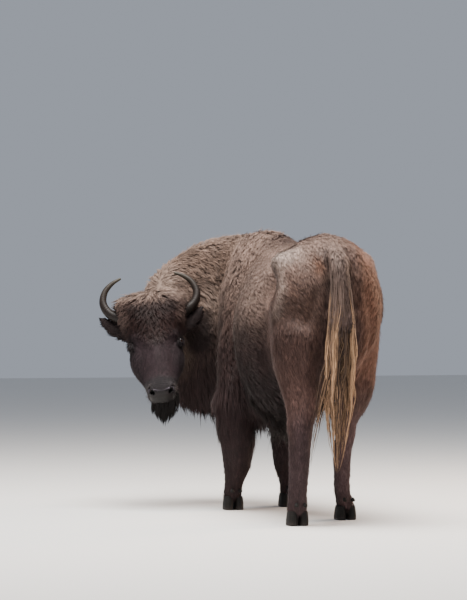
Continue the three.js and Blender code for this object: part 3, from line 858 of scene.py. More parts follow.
    def sink(self) -> None:
        """Sets the hide in from the solids' surface by the depth of the coat, which is least at feet and lips."""
        depth = self.size("depth")
        height = self.vertices[:, 2]
        depth = depth * (0.25 + 0.75 * ease(height, 0.065, 0.13)) + 0.003 * self.zone_weight(Zone.EAR)
        normals = normals_of(self.vertices, self.faces)
        surface = np.array([self.tree.find_nearest(place)[0] for place in self.vertices.tolist()])
        gap = np.clip(((surface - self.vertices) * normals).sum(axis=1), -0.006, 0.014) - depth
        gap = self.net.relax(gap[:, None], 18)
        self.vertices = self.vertices + gap * normals
        self.vertices = self.net.relax(self.vertices, 2, 0.3 * (1 - self.zone_fineness())[:, None])

    def sculpt(self) -> None:
        """Adds the forms under the coat."""
        body = self.stance.in_body(self.vertices)
        rise = sum(form.rise * form.weight(body) for form in BODY_FORMS)
        rise = rise + sum(crease.rise * crease.weight(body) for crease in BODY_CREASES)
        rise = rise * self.zone_weight(Zone.RUMP, Zone.THIGH, Zone.BARREL, Zone.BELLY, Zone.SHOULDER, Zone.HUMP)
        self.vertices = self.vertices + rise[:, None] * normals_of(self.vertices, self.faces)
        self.carve_head()

    def carve_head(self) -> None:
        """Forms the brows, folds, nostrils, mouth and lids."""
        head = self.stance.in_head(self.vertices)
        frame = self.stance.head[:3, :3]
        normals = normals_of(self.vertices, self.faces) @ frame
        rise = sum(form.rise * form.weight(head) for form in HEAD_FORMS)
        rise = rise + sum(crease.rise * crease.weight(head) for crease in HEAD_CREASES)
        far = self.eye_distance(head)
        folds = np.exp(-(((far - 0.036) / 0.009) ** 2)) * np.cos((far - 0.026) / 0.0085 * 2 * math.pi)
        x, y, z = head.T
        rise = rise - 0.0009 * folds * ease(z, -0.03, 0.03)
        bridge = ease(np.abs(x), 0.07, 0.03) * ease(z, -0.185, -0.215) * ease(z, -0.282, -0.262)
        ripple = np.cos((z + 0.10 * np.abs(x)) / 0.0105 * 2 * math.pi)
        rise = rise + 0.0003 * ripple * bridge * (y < 0)
        rise = rise * self.zone_weight(Zone.FACE, Zone.CHEEK, Zone.LIP, Zone.NOSE, Zone.FOREHEAD)
        head = head + rise[:, None] * normals
        # How far inside a nostril each vertex lies, which darkens it as painted shade.
        self.dark = np.zeros(len(head))
        for side in SIDES.values():
            head, inside = Nostrils().open(head, normals, side)
            self.dark = np.maximum(self.dark, inside)
            head = Eyelids().close(head, side)
        self.vertices = self.stance.from_head(head)

    # -- Lie of the hair --

    def lay_hair(self) -> None:
        """Finds the way the hair lies at every vertex: back and down, with soft swirls."""
        body, head = self.stance.in_body(self.vertices), self.stance.in_head(self.vertices)
        ways = np.zeros((len(Zone), 3))
        for zone, way in LIES.items():
            ways[zone.value] = way
        flow = self.shares @ ways
        flow += self.zone_weight(Zone.NECK, Zone.CREST, Zone.THROAT)[:, None] * self.neck_ways(body)
        flow += self.zone_weight(*HEAD_ZONES)[:, None] * self.stance.head_ways(self.head_lie(head))
        swirl = self.net.haze(self.rng, 30, 3) * self.size("stray")[:, None]
        flow = unit(flow) + 0.55 * swirl
        flow -= (flow * self.normals).sum(axis=1, keepdims=True) * self.normals
        self.flow = unit(self.net.relax(unit(flow), 5, 0.5))

    @staticmethod
    def neck_ways(body: np.ndarray) -> np.ndarray:
        """The lie of the neck's hair: back along its bend, and down.

        Args:
            body: places in the body.

        Returns:
            A direction for each.
        """
        line = np.array([
            (-0.006, -0.52), (-0.004, -0.74), (0.034, -0.888), (0.138, -0.988), (0.268, -1.01),
            (0.394, -0.962), (0.474, -0.886), (0.514, -0.818), (0.53, -0.776),
        ])
        line = smooth_rows(line, 60)
        back = -np.gradient(line, axis=0)
        nearest = ((body[:, None, :2] - line[None]) ** 2).sum(axis=2).argmin(axis=1)
        ways = unit(back)[nearest]
        fall = 0.6 + 0.7 * ease(body[:, 2], 1.1, 0.75)
        return np.concatenate([ways * (1.1 - 0.4 * fall[:, None]), -fall[:, None]], axis=1)

    @staticmethod
    def head_lie(head: np.ndarray) -> np.ndarray:
        """The lie of the hair in the head's frame: it parts at a whorl on the forehead and runs down and back.

        Args:
            head: places in the head.

        Returns:
            A direction for each.
        """
        x, _, z = head.T
        whorl = np.stack([x * 6, np.zeros_like(x), (z - 0.15) * 3 - 0.55], axis=1)
        side = ease(np.abs(x), 0.09, 0.15)[:, None]
        low = ease(z, 0.05, -0.02)[:, None]
        face = np.stack([x * 1.5, np.zeros_like(x), -np.ones_like(x)], axis=1)
        cheek = np.stack([np.zeros_like(x), np.full_like(x, 0.8), np.full_like(x, -0.6)], axis=1)
        lie = whorl * (1 - low) + face * low
        lie = lie * (1 - side * low) + cheek * side * low
        ears = ease(np.abs(x), 0.15, 0.19)[:, None] * ease(z, 0.04, 0.09)[:, None] * ease(z, 0.24, 0.2)[:, None]
        tips = np.stack([np.sign(x), np.full_like(x, -0.1), np.full_like(x, 0.75)], axis=1)
        return unit(lie * (1 - ears) + tips * ears)

    # -- Colour --

    def colour(self) -> None:
        """Gives every vertex its colour: the zones' tints with marks, soft patches and painted light and shade."""
        body, head = self.stance.in_body(self.vertices), self.stance.in_head(self.vertices)
        tint = self.size("tint")
        patches = self.net.haze(self.rng, 12, 1) * 0.12 + self.net.haze(self.rng, 60, 1) * 0.08
        woolly = self.zone_weight(
            Zone.HUMP, Zone.NECK, Zone.CREST, Zone.SHOULDER, Zone.BARREL, Zone.RUMP, Zone.POLL, Zone.DOCK
        )
        mane = self.zone_weight(Zone.HUMP, Zone.NECK, Zone.CREST)
        # Painted light: hair that faces up is made lighter, as if lit from above.
        painted_top_light = (ease(self.normals[:, 2], -0.3, 0.9) - 0.4) * (0.75 * woolly + 0.30 * mane)
        tint = tint * np.exp(patches + painted_top_light[:, None])
        for mark, code, amount in coat_marks_and_painted_light(body, head):
            share = (np.clip(mark, 0, 1) * amount)[:, None]
            tint = tint * (1 - share) + linear(code) * share
        # Painted shade inside the nostrils.
        tint = tint * (1 - 0.9 * self.dark[:, None])
        # Painted shade along the mouth line.
        tint = tint * (1 - 0.75 * np.maximum(*(line.weight(head) for line in both_sides(MOUTH)))[:, None])
        pad = self.zone_weight(Zone.NOSE)
        # Painted highlight along the top edge of the nose pad.
        edge = (4 * pad * (1 - pad) * ease(head[:, 2], -0.296, -0.272))[:, None]
        tint = tint * (1 - 0.7 * edge) + linear("857d88") * 0.7 * edge
        tint = tint * (1 - 0.60 * pad * ease(head[:, 2], -0.305, -0.325))[:, None]
        rim = np.exp(-(((self.eye_distance(head) - 0.0235) / 0.006) ** 2))[:, None]
        self.tint = tint * (1 - 0.55 * rim)

    def dress(self, material: bpy.types.Material) -> bpy.types.Object:
        """Makes the hide's mesh with its colours.

        Args:
            material: the skin's finish.

        Returns:
            The piece.
        """
        piece = make_object("hide", self.vertices, self.faces)
        paint(piece, "tint", self.tint)
        paint(piece, "wet", np.repeat(self.zone_weight(Zone.NOSE)[:, None], 3, axis=1))
        piece.data.materials.append(material)
        return piece


def coat_marks_and_painted_light(body: np.ndarray, head: np.ndarray) -> list[tuple[np.ndarray, str, float]]:
    """The coat's marks, with painted highlights and shade among them, as where, what colour and how strong.

    Args:
        body: places in the body.
        head: the same places in the head.

    Returns:
        One share for each place, a display colour and a strength, for each mark.
    """
    x, y, z = body.T
    both = folded(body)
    fx, fy, fz = head.T
    away = np.linalg.norm(head * (1.0, 0.8, 0.7), axis=1)
    trunk, near = ease(away, 0.20, 0.30), ease(away, 0.40, 0.30)
    low = ease(z, 1.12, 0.82) * (ease(y, 0.26, 0.10) * trunk)
    hump_top = ease(z, 1.34, 1.47) * ease(y, -0.15, -0.35) * trunk
    under = ease(z, 0.92, 0.66) * ease(y, 0.40, 0.20) * ease(y, -0.45, -0.30) * trunk
    spine = np.exp(-((x / 0.075) ** 2)) * ease(z, 1.34, 1.41) * ease(y, -0.42, -0.28) * ease(y, 0.02, -0.10)
    croup = ease(z, 1.10, 1.36) * ease(y, 0.0, 0.2)
    haunch = Form((0.215, 0.540, 0.980), (0.135, 0.190, 0.165), 0)
    hip_highlight_line = ((0.17, 0.43, 1.365), (0.218, 0.383, 1.315), (0.252, 0.470, 1.165), (0.268, 0.441, 1.05))
    hip = Form((0.215, 0.37, 1.32), (0.070, 0.100, 0.040), 0)
    hollow = Form((0.190, 0.130, 1.205), (0.090, 0.110, 0.085), 0)
    pin_left = Form((0.110, 0.590, 1.285), (0.034, 0.055, 0.045), 0)
    pin_right = Form((-0.075, 0.585, 1.310), (0.034, 0.060, 0.050), 0)
    tail_left_shadow = Crease(((0.060, 0.570, 1.350), (0.064, 0.645, 1.250), (0.082, 0.640, 1.090)), 0.022, 0)
    tail_right_shadow = Crease(((-0.040, 0.570, 1.350), (-0.046, 0.635, 1.250), (-0.050, 0.640, 1.090)), 0.022, 0)
    right_rump = ease(x, 0.0, -0.10) * ease(y, 0.30, 0.45) * ease(z, 0.98, 1.10)
    right_thigh_warm_light = ease(x, -0.08, -0.16) * ease(y, 0.15, 0.35) * ease(z, 0.62, 0.80)
    right_shank = ease(x, -0.05, -0.12) * ease(z, 0.62, 0.42) * ease(y, 0.25, 0.40)
    inner = ease(np.abs(x), 0.13, 0.05) * ease(y, 0.40, 0.52) * ease(z, 1.10, 0.90)
    ear = ease(np.abs(fx), 0.155, 0.175) * ease(fz, 0.04, 0.06) * ease(fz, 0.26, 0.24) * near
    temple = ease(np.abs(fx), 0.095, 0.140) * ease(fz, 0.10, 0.15) * near * ease(fy, 0.10, 0.0) * (1 - ear)
    band = ease(fz, 0.232, 0.262) * near * ease(fy, 0.10, 0.03)
    return [
        # Darker low on the trunk: partly the darker fur, partly painted shade.
        (low, "281c1c", 0.84),
        # Lighter on top of the hump: partly frosted hair, partly painted light from above.
        (hump_top, "7f6c62", 0.50),
        # Darker under the trunk: partly the darker fur, partly painted shade.
        (under, "1e1516", 0.75),
        # Painted shade along the spine at the back of the hump.
        (spine, "2c201d", 0.75),
        # Lighter on top of the croup: partly frosted hair, partly painted light from above.
        (croup, "6c5c54", 0.60),
        (haunch.weight(both), "30221d", 0.50),
        # Painted highlight along the hip ridge.
        (Crease(hip_highlight_line, 0.030, 0).weight(both), "9c8a80", 0.55),
        # Painted highlight on the hip bone.
        (hip.weight(both), "b0a198", 0.56),
        # Painted shade in the hollow ahead of the hip.
        (hollow.weight(both), "33251f", 0.55),
        (pin_left.weight(body), "4f2f1c", 0.78),
        # Painted shade on the croup right of the tail.
        (pin_right.weight(body), "3a2620", 0.65),
        # Painted shadow in the creases beside the tail.
        (np.minimum(tail_left_shadow.weight(body) + tail_right_shadow.weight(body), 1), "231917", 0.80),
        (right_rump, "4a3024", 0.40),
        # Painted warm light on the right thigh.
        (right_thigh_warm_light, "795544", 0.55),
        (right_shank, "6b5352", 0.50),
        # Painted shade between the thighs.
        (inner, "261c1b", 0.55),
        (temple, "5e4e48", 0.50),
        (band, "6a5a51", 0.55),
        (ear, "1b1313", 0.90),
    ]


# ---- Hair ----


@dataclass
class Hairs:
    """Closed tapered hairs as arrays: their vertices, faces, colours and places on the unwrapped hide."""

    vertices: np.ndarray
    faces: np.ndarray
    tint: np.ndarray
    uv: np.ndarray
    normals: np.ndarray

    @staticmethod
    def join(parts: list["Hairs"]) -> "Hairs":
        """All the hairs of several sets as one.

        Args:
            parts: the sets.

        Returns:
            One set that holds them in turn.
        """
        starts = np.cumsum([0] + [len(part.vertices) for part in parts[:-1]])
        return Hairs(
            np.concatenate([part.vertices for part in parts]),
            np.concatenate([part.faces + start for part, start in zip(parts, starts)]),
            np.concatenate([part.tint for part in parts]),
            np.concatenate([part.uv for part in parts]),
            np.concatenate([part.normals for part in parts]),
        )

    def piece(self, name: str, material: bpy.types.Material) -> bpy.types.Object:
        """Makes one mesh of the hairs.

        Args:
            name: the piece's name.
            material: the hair's finish.

        Returns:
            The piece, with its colours and its map.
        """
        made = make_object(name, self.vertices, self.faces)
        made.data.normals_split_custom_set_from_vertices(self.normals.astype(np.float32))
        paint(made, "tint", self.tint)
        layer = made.data.uv_layers.new(name="OFBake")
        layer.data.foreach_set("uv", self.uv[self.faces.ravel()].astype(np.float32).ravel())
        made.data.materials.append(material)
        LOG.info("%s: %d triangles", name, len(self.faces))
        return made


def spin_hairs(
    paths: np.ndarray, width: np.ndarray, up: np.ndarray, tint: np.ndarray, uv: np.ndarray, flat: float = 0.5,
    soft: float = 0.0,
) -> Hairs:
    """Makes a closed three-sided hair along each path: pointed at both ends, flat beneath and ridged above.

    Args:
        paths: hairs by points by 3, from root to tip.
        width: hairs by points, the breadth at each point.
        up: hairs by 3, the way the ridge faces.
        tint: hairs by points by 3, the colour at each point.
        uv: hairs by 2, each root's place on the map.
        flat: the height of the ridge as a share of the breadth.
        soft: how far the hair's shading follows `up`, from 0 to 1.

    Returns:
        The hairs.
    """
    count, points = paths.shape[:2]
    rings = points - 2
    run = unit(np.gradient(paths, axis=1))[:, 1:-1]
    across = unit(np.cross(run, up[:, None, :]))
    ridge = np.cross(across, run)
    half = (width / 2)[:, 1:-1, None]
    middle = paths[:, 1:-1]
    ring = np.stack([middle - across * half, middle + ridge * half * 2 * flat, middle + across * half], axis=2)
    vertices = np.concatenate([paths[:, :1], ring.reshape(count, rings * 3, 3), paths[:, -1:]], axis=1)
    out = np.stack([0.5 * ridge - across, ridge, 0.5 * ridge + across], axis=2).reshape(count, rings * 3, 3)
    out = unit(unit(out) * (1 - soft) + up[:, None] * soft)
    normals = np.concatenate([up[:, None], out, up[:, None]], axis=1)
    faces = [[0, 1 + (k + 1) % 3, 1 + k] for k in range(3)]
    for level in range(rings - 1):
        for k in range(3):
            a, b = 1 + level * 3 + k, 1 + level * 3 + (k + 1) % 3
            faces += [[a, b, b + 3], [a, b + 3, a + 3]]
    last, tip = 1 + (rings - 1) * 3, 1 + rings * 3
    faces += [[last + k, last + (k + 1) % 3, tip] for k in range(3)]
    faces = np.array(faces)
    sample = vertices[0][faces] - vertices[0][0]
    if np.einsum("ij,ij->i", np.cross(sample[:, 0], sample[:, 1]), sample[:, 2]).sum() < 0:
        faces = faces[:, ::-1]
    all_faces = (faces[None] + (np.arange(count) * (tip + 1))[:, None, None]).reshape(-1, 3)
    colours = np.concatenate([tint[:, :1], np.repeat(tint[:, 1:-1], 3, axis=1), tint[:, -1:]], axis=1)
    share = np.linspace(-1, 1, points)
    body = np.stack([np.tile((-1.0, 0.0, 1.0), rings), np.repeat(share[1:-1], 3)], axis=1)
    patch = np.concatenate([[(0.0, -1.0)], body, [(0.0, 1.0)]])
    maps = uv[:, None] + BAKE_PATCH * patch[None]
    flats = (rows.reshape(-1, rows.shape[-1]) for rows in (colours, maps, normals))
    return Hairs(vertices.reshape(-1, 3), all_faces, *flats)


@dataclass(frozen=True)
class Patch:
    """A part of the coat that is one piece, and its way of unwrapping the hide under it."""

    name: str
    zones: tuple[Zone, ...]
    unwrap: str
    points: int


PATCHES = (
    Patch("coat_rump", (Zone.RUMP, Zone.DOCK), "barrel", 3),
    Patch("coat_barrel", (Zone.BARREL, Zone.BELLY), "barrel", 3),
    Patch("coat_hump", (Zone.HUMP,), "barrel", 4),
    Patch("coat_shoulder", (Zone.SHOULDER, Zone.BRISKET), "barrel", 4),
    Patch("coat_neck", (Zone.NECK,), "neck", 4),
    Patch("coat_crest", (Zone.CREST,), "neck", 4),
    Patch("coat_throat", (Zone.THROAT,), "neck", 4),
    Patch("coat_head", (Zone.FOREHEAD, Zone.POLL, Zone.FACE, Zone.CHEEK, Zone.LIP, Zone.EAR), "head", 3),
    Patch("coat_arms", (Zone.ARM,), "legs", 3),
    Patch("coat_thighs", (Zone.THIGH,), "legs", 3),
    Patch("coat_shanks", (Zone.SHANK,), "legs", 3),
)


class Coat:
    """The tufts that grow on the hide."""

    LOCK = 6
    LOOSE = 0.08
    SUNK = 0.002

    def __init__(self, hide: Hide) -> None:
        """Takes the hide that carries the coat.

        Args:
            hide: the hide, with its zones and the lie of its hair.
        """
        self.hide = hide
        self.rng = np.random.default_rng(97)
        corner = hide.vertices[hide.faces]
        self.area = np.linalg.norm(np.cross(corner[:, 1] - corner[:, 0], corner[:, 2] - corner[:, 0]), axis=1) / 2
        self.face_zone = hide.zone[hide.faces[:, 0]]
        self.clump = hide.net.haze(self.rng, 3, 3)
        self.shade = hide.net.haze(self.rng, 2, 1)

    def roots(self, zones: tuple[Zone, ...]) -> tuple[np.ndarray, np.ndarray]:
        """Spreads roots evenly over some zones.

        Args:
            zones: where.

        Returns:
            The face under each root, and its shares of the face's three corners.
        """
        chosen = np.flatnonzero(np.isin(self.face_zone, [zone.value for zone in zones]))
        density = self.hide.size("density")[self.hide.faces[chosen]].mean(axis=1)
        total = np.cumsum(self.area[chosen] * density)
        picks = np.searchsorted(total, np.arange(0.5, total[-1]))
        mix = self.rng.random((len(picks), 2))
        over = mix.sum(axis=1) > 1
        mix[over] = 1 - mix[over]
        return chosen[picks], np.column_stack([1 - mix.sum(axis=1), mix])

    def leaders(self, root: np.ndarray) -> np.ndarray:
        """Gathers the tufts into locks.

        Args:
            root: the tufts' places.

        Returns:
            For each tuft the number of the tuft that leads its lock, which is the nearest of a random few.
        """
        chosen = self.rng.choice(len(root), len(root) // self.LOCK, replace=False)
        tree = KDTree(len(chosen))
        for number, place in enumerate(root[chosen].tolist()):
            tree.insert(place, number)
        tree.balance()
        return chosen[[tree.find(place)[1] for place in root.tolist()]]

    def grow(self, patch: Patch, material: bpy.types.Material) -> bpy.types.Object:
        """Makes the tufts of one patch.

        Args:
            patch: the part of the coat.
            material: the hair's finish.

        Returns:
            The piece.
        """
        hide, rng = self.hide, self.rng
        face, mix = self.roots(patch.zones)
        corners = hide.faces[face]

        def blend(values: np.ndarray) -> np.ndarray:
            """A vertex value at the roots."""
            return (values[corners] * (mix[..., None] if values.ndim > 1 else mix)).sum(axis=1)

        count = len(face)
        root, up, flow = blend(hide.vertices), unit(blend(hide.normals)), unit(blend(hide.flow))
        names = ("depth", "length", "width", "curl", "hang", "stray", "lock", "frost")
        depth, length, width, curl, hang, stray, lock, frost = (blend(hide.size(name)) for name in names)
        clump, shade = blend(self.clump), blend(self.shade)[:, 0]
        leader = self.leaders(root)
        own = rng.standard_normal((count, 4))
        shared = rng.standard_normal((count, 4))[leader]
        reach = length * np.exp(0.12 * own[:, 0] + 0.10 * shared[:, 0]) * self.longer(root)
        across = np.cross(up, flow)
        turn = stray * (0.7 * clump[:, 0] + 0.35 * own[:, 1] + 0.65 * shared[:, 1])
        flow = unit(flow * np.cos(turn)[:, None] + across * np.sin(turn)[:, None])
        across = np.cross(up, flow)
        rise = np.clip(depth / (0.50 * reach), 0.06, 1.15)
        rise = rise * np.exp(0.12 * own[:, 2] + 0.14 * shared[:, 2] + 0.10 * clump[:, 1])
        loose = rng.random(count) < self.LOOSE
        reach = reach * np.where(loose, 1.20, 1.0)
        rise = np.clip(rise + loose * rng.uniform(0.10, 0.45, count), 0.05, 1.25)
        points = patch.points
        step = np.array((0, 0.42, 1)) if points == 3 else np.linspace(0, 1, points)
        wave = rng.uniform(0, 2 * math.pi, count)[leader] + 0.5 * own[:, 3]
        paths = np.empty((count, points, 3))
        paths[:, 0] = root - up * self.SUNK
        free = ease((up * DOWN).sum(axis=1), -0.55, 0.35) * hang
        for k in range(1, points):
            middle = (step[k] + step[k - 1]) / 2
            angle = rise * (1 - 1.15 * middle)
            way = flow * np.cos(angle)[:, None] + up * np.sin(angle)[:, None]
            sway = curl * 2.6 * np.sin(wave + 5.0 * middle + 1.3 * clump[:, 2])
            way = way + across * sway[:, None]
            pull = (free * (0.35 + 0.65 * middle))[:, None]
            way = unit(way * (1 - pull) + DOWN * pull)
            paths[:, k] = paths[:, k - 1] + way * (reach * (step[k] - step[k - 1]))[:, None]
        gather = (lock * ~loose)[:, None, None] * (step**1.3)[None, :, None]
        paths = paths * (1 - gather) + paths[leader] * gather
        apart = np.linalg.norm(root - root[leader], axis=1)
        rim = np.clip(apart / (1.6 * apart.mean()), 0, 1)
        breadth = width[:, None] * np.interp(step, (0, 0.35, 0.7, 1), (0.6, 1.0, 0.8, 0.0))
        breadth = breadth * (np.exp(0.15 * rng.standard_normal(count)) * np.where(loose, 0.6, 1.0))[:, None]
        # Tufts at the edge of a lock are darker: painted shade in the gaps between locks.
        tone = np.exp(0.08 * shade + 0.17 * own[:, 3] + 0.12 * shared[:, 3]) * (1.09 - 0.22 * rim)
        ramp = np.interp(step, (0, 0.5, 1), (0.70, 0.92, 1.0))
        ramp = ramp + frost[:, None] * np.interp(step, (0, 0.4, 1), (0, 0.15, 1))
        tint = blend(hide.tint)[:, None, :] * (tone[:, None] * ramp)[..., None]
        maps = self.unwrap(patch.unwrap, root)
        return spin_hairs(paths, breadth, up, tint, maps, 0.32, 0.40).piece(patch.name, material)

    def longer(self, root: np.ndarray) -> np.ndarray:
        """How much longer or shorter the hair is than its zone's own.

        It's longer behind the arms and the right thigh, under the chest, over the hooves and in the ears.
        At the ears' tips it's shorter.

        Args:
            root: the roots' places.

        Returns:
            A factor for each root.
        """
        x, y, z = self.hide.stance.in_body(root).T
        arm = ease(y, -0.60, -0.50) * ease(z, 0.74, 0.60) * ease(z, 0.20, 0.34) * (y < -0.2)
        chest = ease(z, 0.66, 0.58) * ease(y, -0.40, -0.55) * ease(z, 0.40, 0.50)
        thigh = ease(y, 0.44, 0.56) * ease(z, 0.60, 0.72) * ease(z, 1.02, 0.90) * (x < 0)
        pastern = ease(z, 0.140, 0.085)
        fx, fy, fz = self.hide.stance.in_head(root).T
        within = (np.abs(fy) < 0.08) & (fz < 0.07 + 0.9 * (np.abs(fx) - 0.15)) & (fz > 0.03)
        ear = ease(np.abs(fx), 0.16, 0.18) * within
        tip = ease(np.abs(fx), 0.230, 0.275) * (fz > 0.05) * (fz < 0.25)
        return (1 + 0.80 * arm + 0.20 * chest + 0.55 * thigh + 0.55 * pastern + 0.60 * ear) * (1 - 0.45 * tip)

    def unwrap(self, way: str, root: np.ndarray) -> np.ndarray:
        """Each root's place on the unwrapped hide.

        Args:
            way: which part of the hide is unwrapped.
            root: the roots' places.

        Returns:
            Two numbers from 0 to 1 for each root.
        """
        body, head = self.hide.stance.in_body(root), self.hide.stance.in_head(root)
        x, y, z = body.T
        if way == "barrel":
            ring = np.minimum(np.hypot(x, z - 1.0), 0.45)
            place = np.stack([np.arctan2(x, z - 1.0) / FULL_TURN + 0.5, (y + 0.9 + 0.45 - ring) / 2.1], 1)
        elif way == "neck":
            turn = np.arctan2(x + 0.15, -y - 0.45)
            place = np.stack([turn / 2.2 + 0.15, (z - 0.45) / 1.1], 1)
            place[:, 0] = np.where(x * 0.6 + (y + 0.9) > 0, 0.5 + place[:, 0] / 2, place[:, 0] / 2)
        elif way == "head":
            x, y, z = head.T
            ears = (np.abs(x) > 0.17) & (z > 0.05) & (z < 0.23)
            ring = np.arccos(np.clip(z / np.maximum(np.linalg.norm(head, axis=1), 1e-6), -1, 1))
            place = np.stack([np.arctan2(x, -y) / FULL_TURN + 0.5, 0.25 + 0.72 * (1 - ring / math.pi)], 1)
            leaf = np.stack([(x + 0.32) / 0.64, (z - 0.05) / 0.8 + 0.01], 1)
            place = np.where(ears[:, None], leaf, place)
        else:
            leg = (x > 0).astype(int) + 2 * (y > -0.15)
            middle = np.array([(-0.17, -0.62), (0.18, -0.50), (-0.165, 0.38), (0.185, 0.52)])[leg]
            turn = np.arctan2(x - middle[:, 0], y - middle[:, 1]) / FULL_TURN + 0.5
            place = np.stack([(leg + 0.03 + 0.94 * turn) / 4, z / 1.35], 1)
        return np.clip(place, 0.004, 0.996)


@dataclass
class Tassel:
    """The long hair of the tail: wavy strands in locks, hanging from the dock."""

    main: np.ndarray = field(default_factory=lambda: np.array([
        (0.262, 0.050, 0.700, 0.010, 0.008), (0.360, 0.046, 0.706, 0.036, 0.026),
        (0.480, 0.047, 0.712, 0.062, 0.038), (0.600, 0.044, 0.714, 0.076, 0.045),
        (0.740, 0.038, 0.714, 0.080, 0.045), (0.880, 0.032, 0.710, 0.078, 0.042),
        (1.000, 0.028, 0.704, 0.070, 0.038), (1.090, 0.028, 0.700, 0.056, 0.034),
        (1.130, 0.029, 0.700, 0.050, 0.032), (1.200, 0.031, 0.692, 0.049, 0.034),
        (1.270, 0.030, 0.674, 0.048, 0.035), (1.310, 0.027, 0.640, 0.042, 0.034),
    ]))
    side: np.ndarray = field(default_factory=lambda: np.array([
        (0.282, 0.186, 0.696, 0.006, 0.006), (0.380, 0.178, 0.702, 0.018, 0.013),
        (0.500, 0.160, 0.708, 0.027, 0.019), (0.630, 0.130, 0.712, 0.033, 0.023),
        (0.740, 0.104, 0.712, 0.033, 0.023), (0.840, 0.080, 0.708, 0.026, 0.022),
        (0.960, 0.050, 0.706, 0.030, 0.024), (1.080, 0.036, 0.704, 0.024, 0.020),
    ]))
    part: float = 0.042
    strands: int = 1150
    points: int = 15
    seed: int = 23

    def lock(self, rng: np.random.Generator, table: np.ndarray, count: int, clumps: int, top: tuple[float, float],
             foot: tuple[float, float], shares: tuple[float, ...], origin: np.ndarray) -> Hairs:
        """Strands that hang inside one tapering bundle.

        Args:
            rng: the source of random numbers.
            table: the bundle's sections by height: middle x and y, half breadth and half depth.
            count: how many strands.
            clumps: how many locks they gather into.
            top: the highest and lowest root.
            foot: the lowest and highest tip.
            shares: how golden a lock may be, from 0 to 1.
            origin: the body's origin.

        Returns:
            The hairs.
        """
        clump_at = rng.uniform(-1, 1, (clumps, 2))
        clump_at /= np.maximum(np.linalg.norm(clump_at, axis=1, keepdims=True), 1)
        phase, beat = rng.uniform(0, 6.28, (clumps, 4)), rng.uniform(0.8, 1.25, clumps)
        mine = rng.integers(0, clumps, count)
        own = clump_at[mine] + rng.normal(0, 0.22, (count, 2))
        own /= np.maximum(np.linalg.norm(own, axis=1, keepdims=True), 1)
        start = rng.uniform(top[1], top[0], count)
        drop = rng.beta(2.6, 1.3, clumps)[mine] + rng.normal(0, 0.07, count)
        end = foot[1] + (foot[0] - foot[1]) * np.clip(drop, 0, 1)
        share = np.linspace(0, 1, self.points)
        height = start[:, None] + (end - start)[:, None] * share
        section = along(table, height)
        gather = (0.35 + 0.60 * ease(share, 0.10, 0.8))[None, :, None] * ease(height, 1.15, 0.95)[..., None]
        inside = own[:, None] * (1 - gather) + (clump_at[mine] * 0.96)[:, None] * gather
        wave = np.stack([
            0.0050 * np.sin(phase[mine, 0, None] + beat[mine, None] * height * 24)
            + 0.0024 * np.sin(phase[mine, 1, None] + height * 62 + own[:, :1]),
            0.0045 * np.sin(phase[mine, 2, None] + beat[mine, None] * height * 22)
            + 0.0022 * np.sin(phase[mine, 3, None] + height * 55),
        ], axis=-1) * ease(share, 0.0, 0.3)[None, :, None]
        flat = section[..., :2] + inside * section[..., 2:] + wave * np.clip(section[..., 2:3] / 0.06, 0.3, 1)
        gap = np.exp(-(((flat[..., 0] - self.part) / 0.022) ** 2))
        gap = gap * ease(height, 1.04, 0.94) * ease(height, 0.62, 0.74)
        flat[..., 0] += 0.010 * gap * np.sign(flat[..., 0] - self.part)
        paths = np.concatenate([flat, height[..., None]], axis=-1) + origin
        breadth = rng.uniform(0.0022, 0.0044, (count, 1))
        breadth = breadth * np.interp(share, (0, 0.1, 0.6, 1), (0.7, 1.0, 0.75, 0.0))
        golden = linear("a88566") * np.exp(rng.normal(0.0, 0.32, (count, 1, 1)))
        dark = linear("33251f") * np.exp(rng.normal(0.0, 0.25, (count, 1, 1)))
        level = height + rng.normal(0, 0.05, (clumps, 1))[mine] + rng.normal(0, 0.05, (count, 1))
        mixed = np.clip(rng.choice(shares, clumps)[mine] + rng.normal(0.0, 0.36, count), 0, 1)[:, None]
        mixed = (mixed * (0.20 + 0.80 * ease(level, 1.16, 0.84)))[..., None]
        # Strands beside the parting are darker: painted shade in the gap.
        tint = (dark * (1 - mixed) + golden * mixed) * (1 - 0.55 * gap[..., None])
        grey = ease(level, 0.84, 1.16)[..., None]
        tint = tint * (1 - grey) + linear("5a4b44") * np.exp(0.40 * rng.standard_normal((count, 1, 1))) * grey
        up = np.stack([own[:, 0], 0.6 + 0.8 * np.abs(own[:, 1]), np.zeros(count)], axis=1)
        uv = np.stack([0.05 + 0.9 * (own[:, 0] + 1) / 2, np.clip((start - 0.2), 0.01, 0.99)], axis=1)
        return spin_hairs(paths, breadth, unit(up), tint, uv, 0.42, 0.15)

    def build(self, origin: np.ndarray, material: bpy.types.Material) -> bpy.types.Object:
        """Hangs the strands.

        Args:
            origin: the body's origin.
            material: the hair's finish.

        Returns:
            The piece.
        """
        rng = np.random.default_rng(self.seed)
        mixed, brown = (0.9, 0.75, 0.60, 0.45, 0.30, 0.10), (0.50, 0.25, 0.10, 0.0)
        main = self.lock(rng, self.main, self.strands, 34, (1.30, 0.84), (0.262, 0.66), mixed, origin)
        side = self.lock(rng, self.side, self.strands // 4, 9, (1.06, 0.82), (0.285, 0.56), brown, origin)
        piece = Hairs.join([main, side]).piece("tassel_hair", material)
        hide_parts("tassel")
        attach(piece, BODY)
        return piece


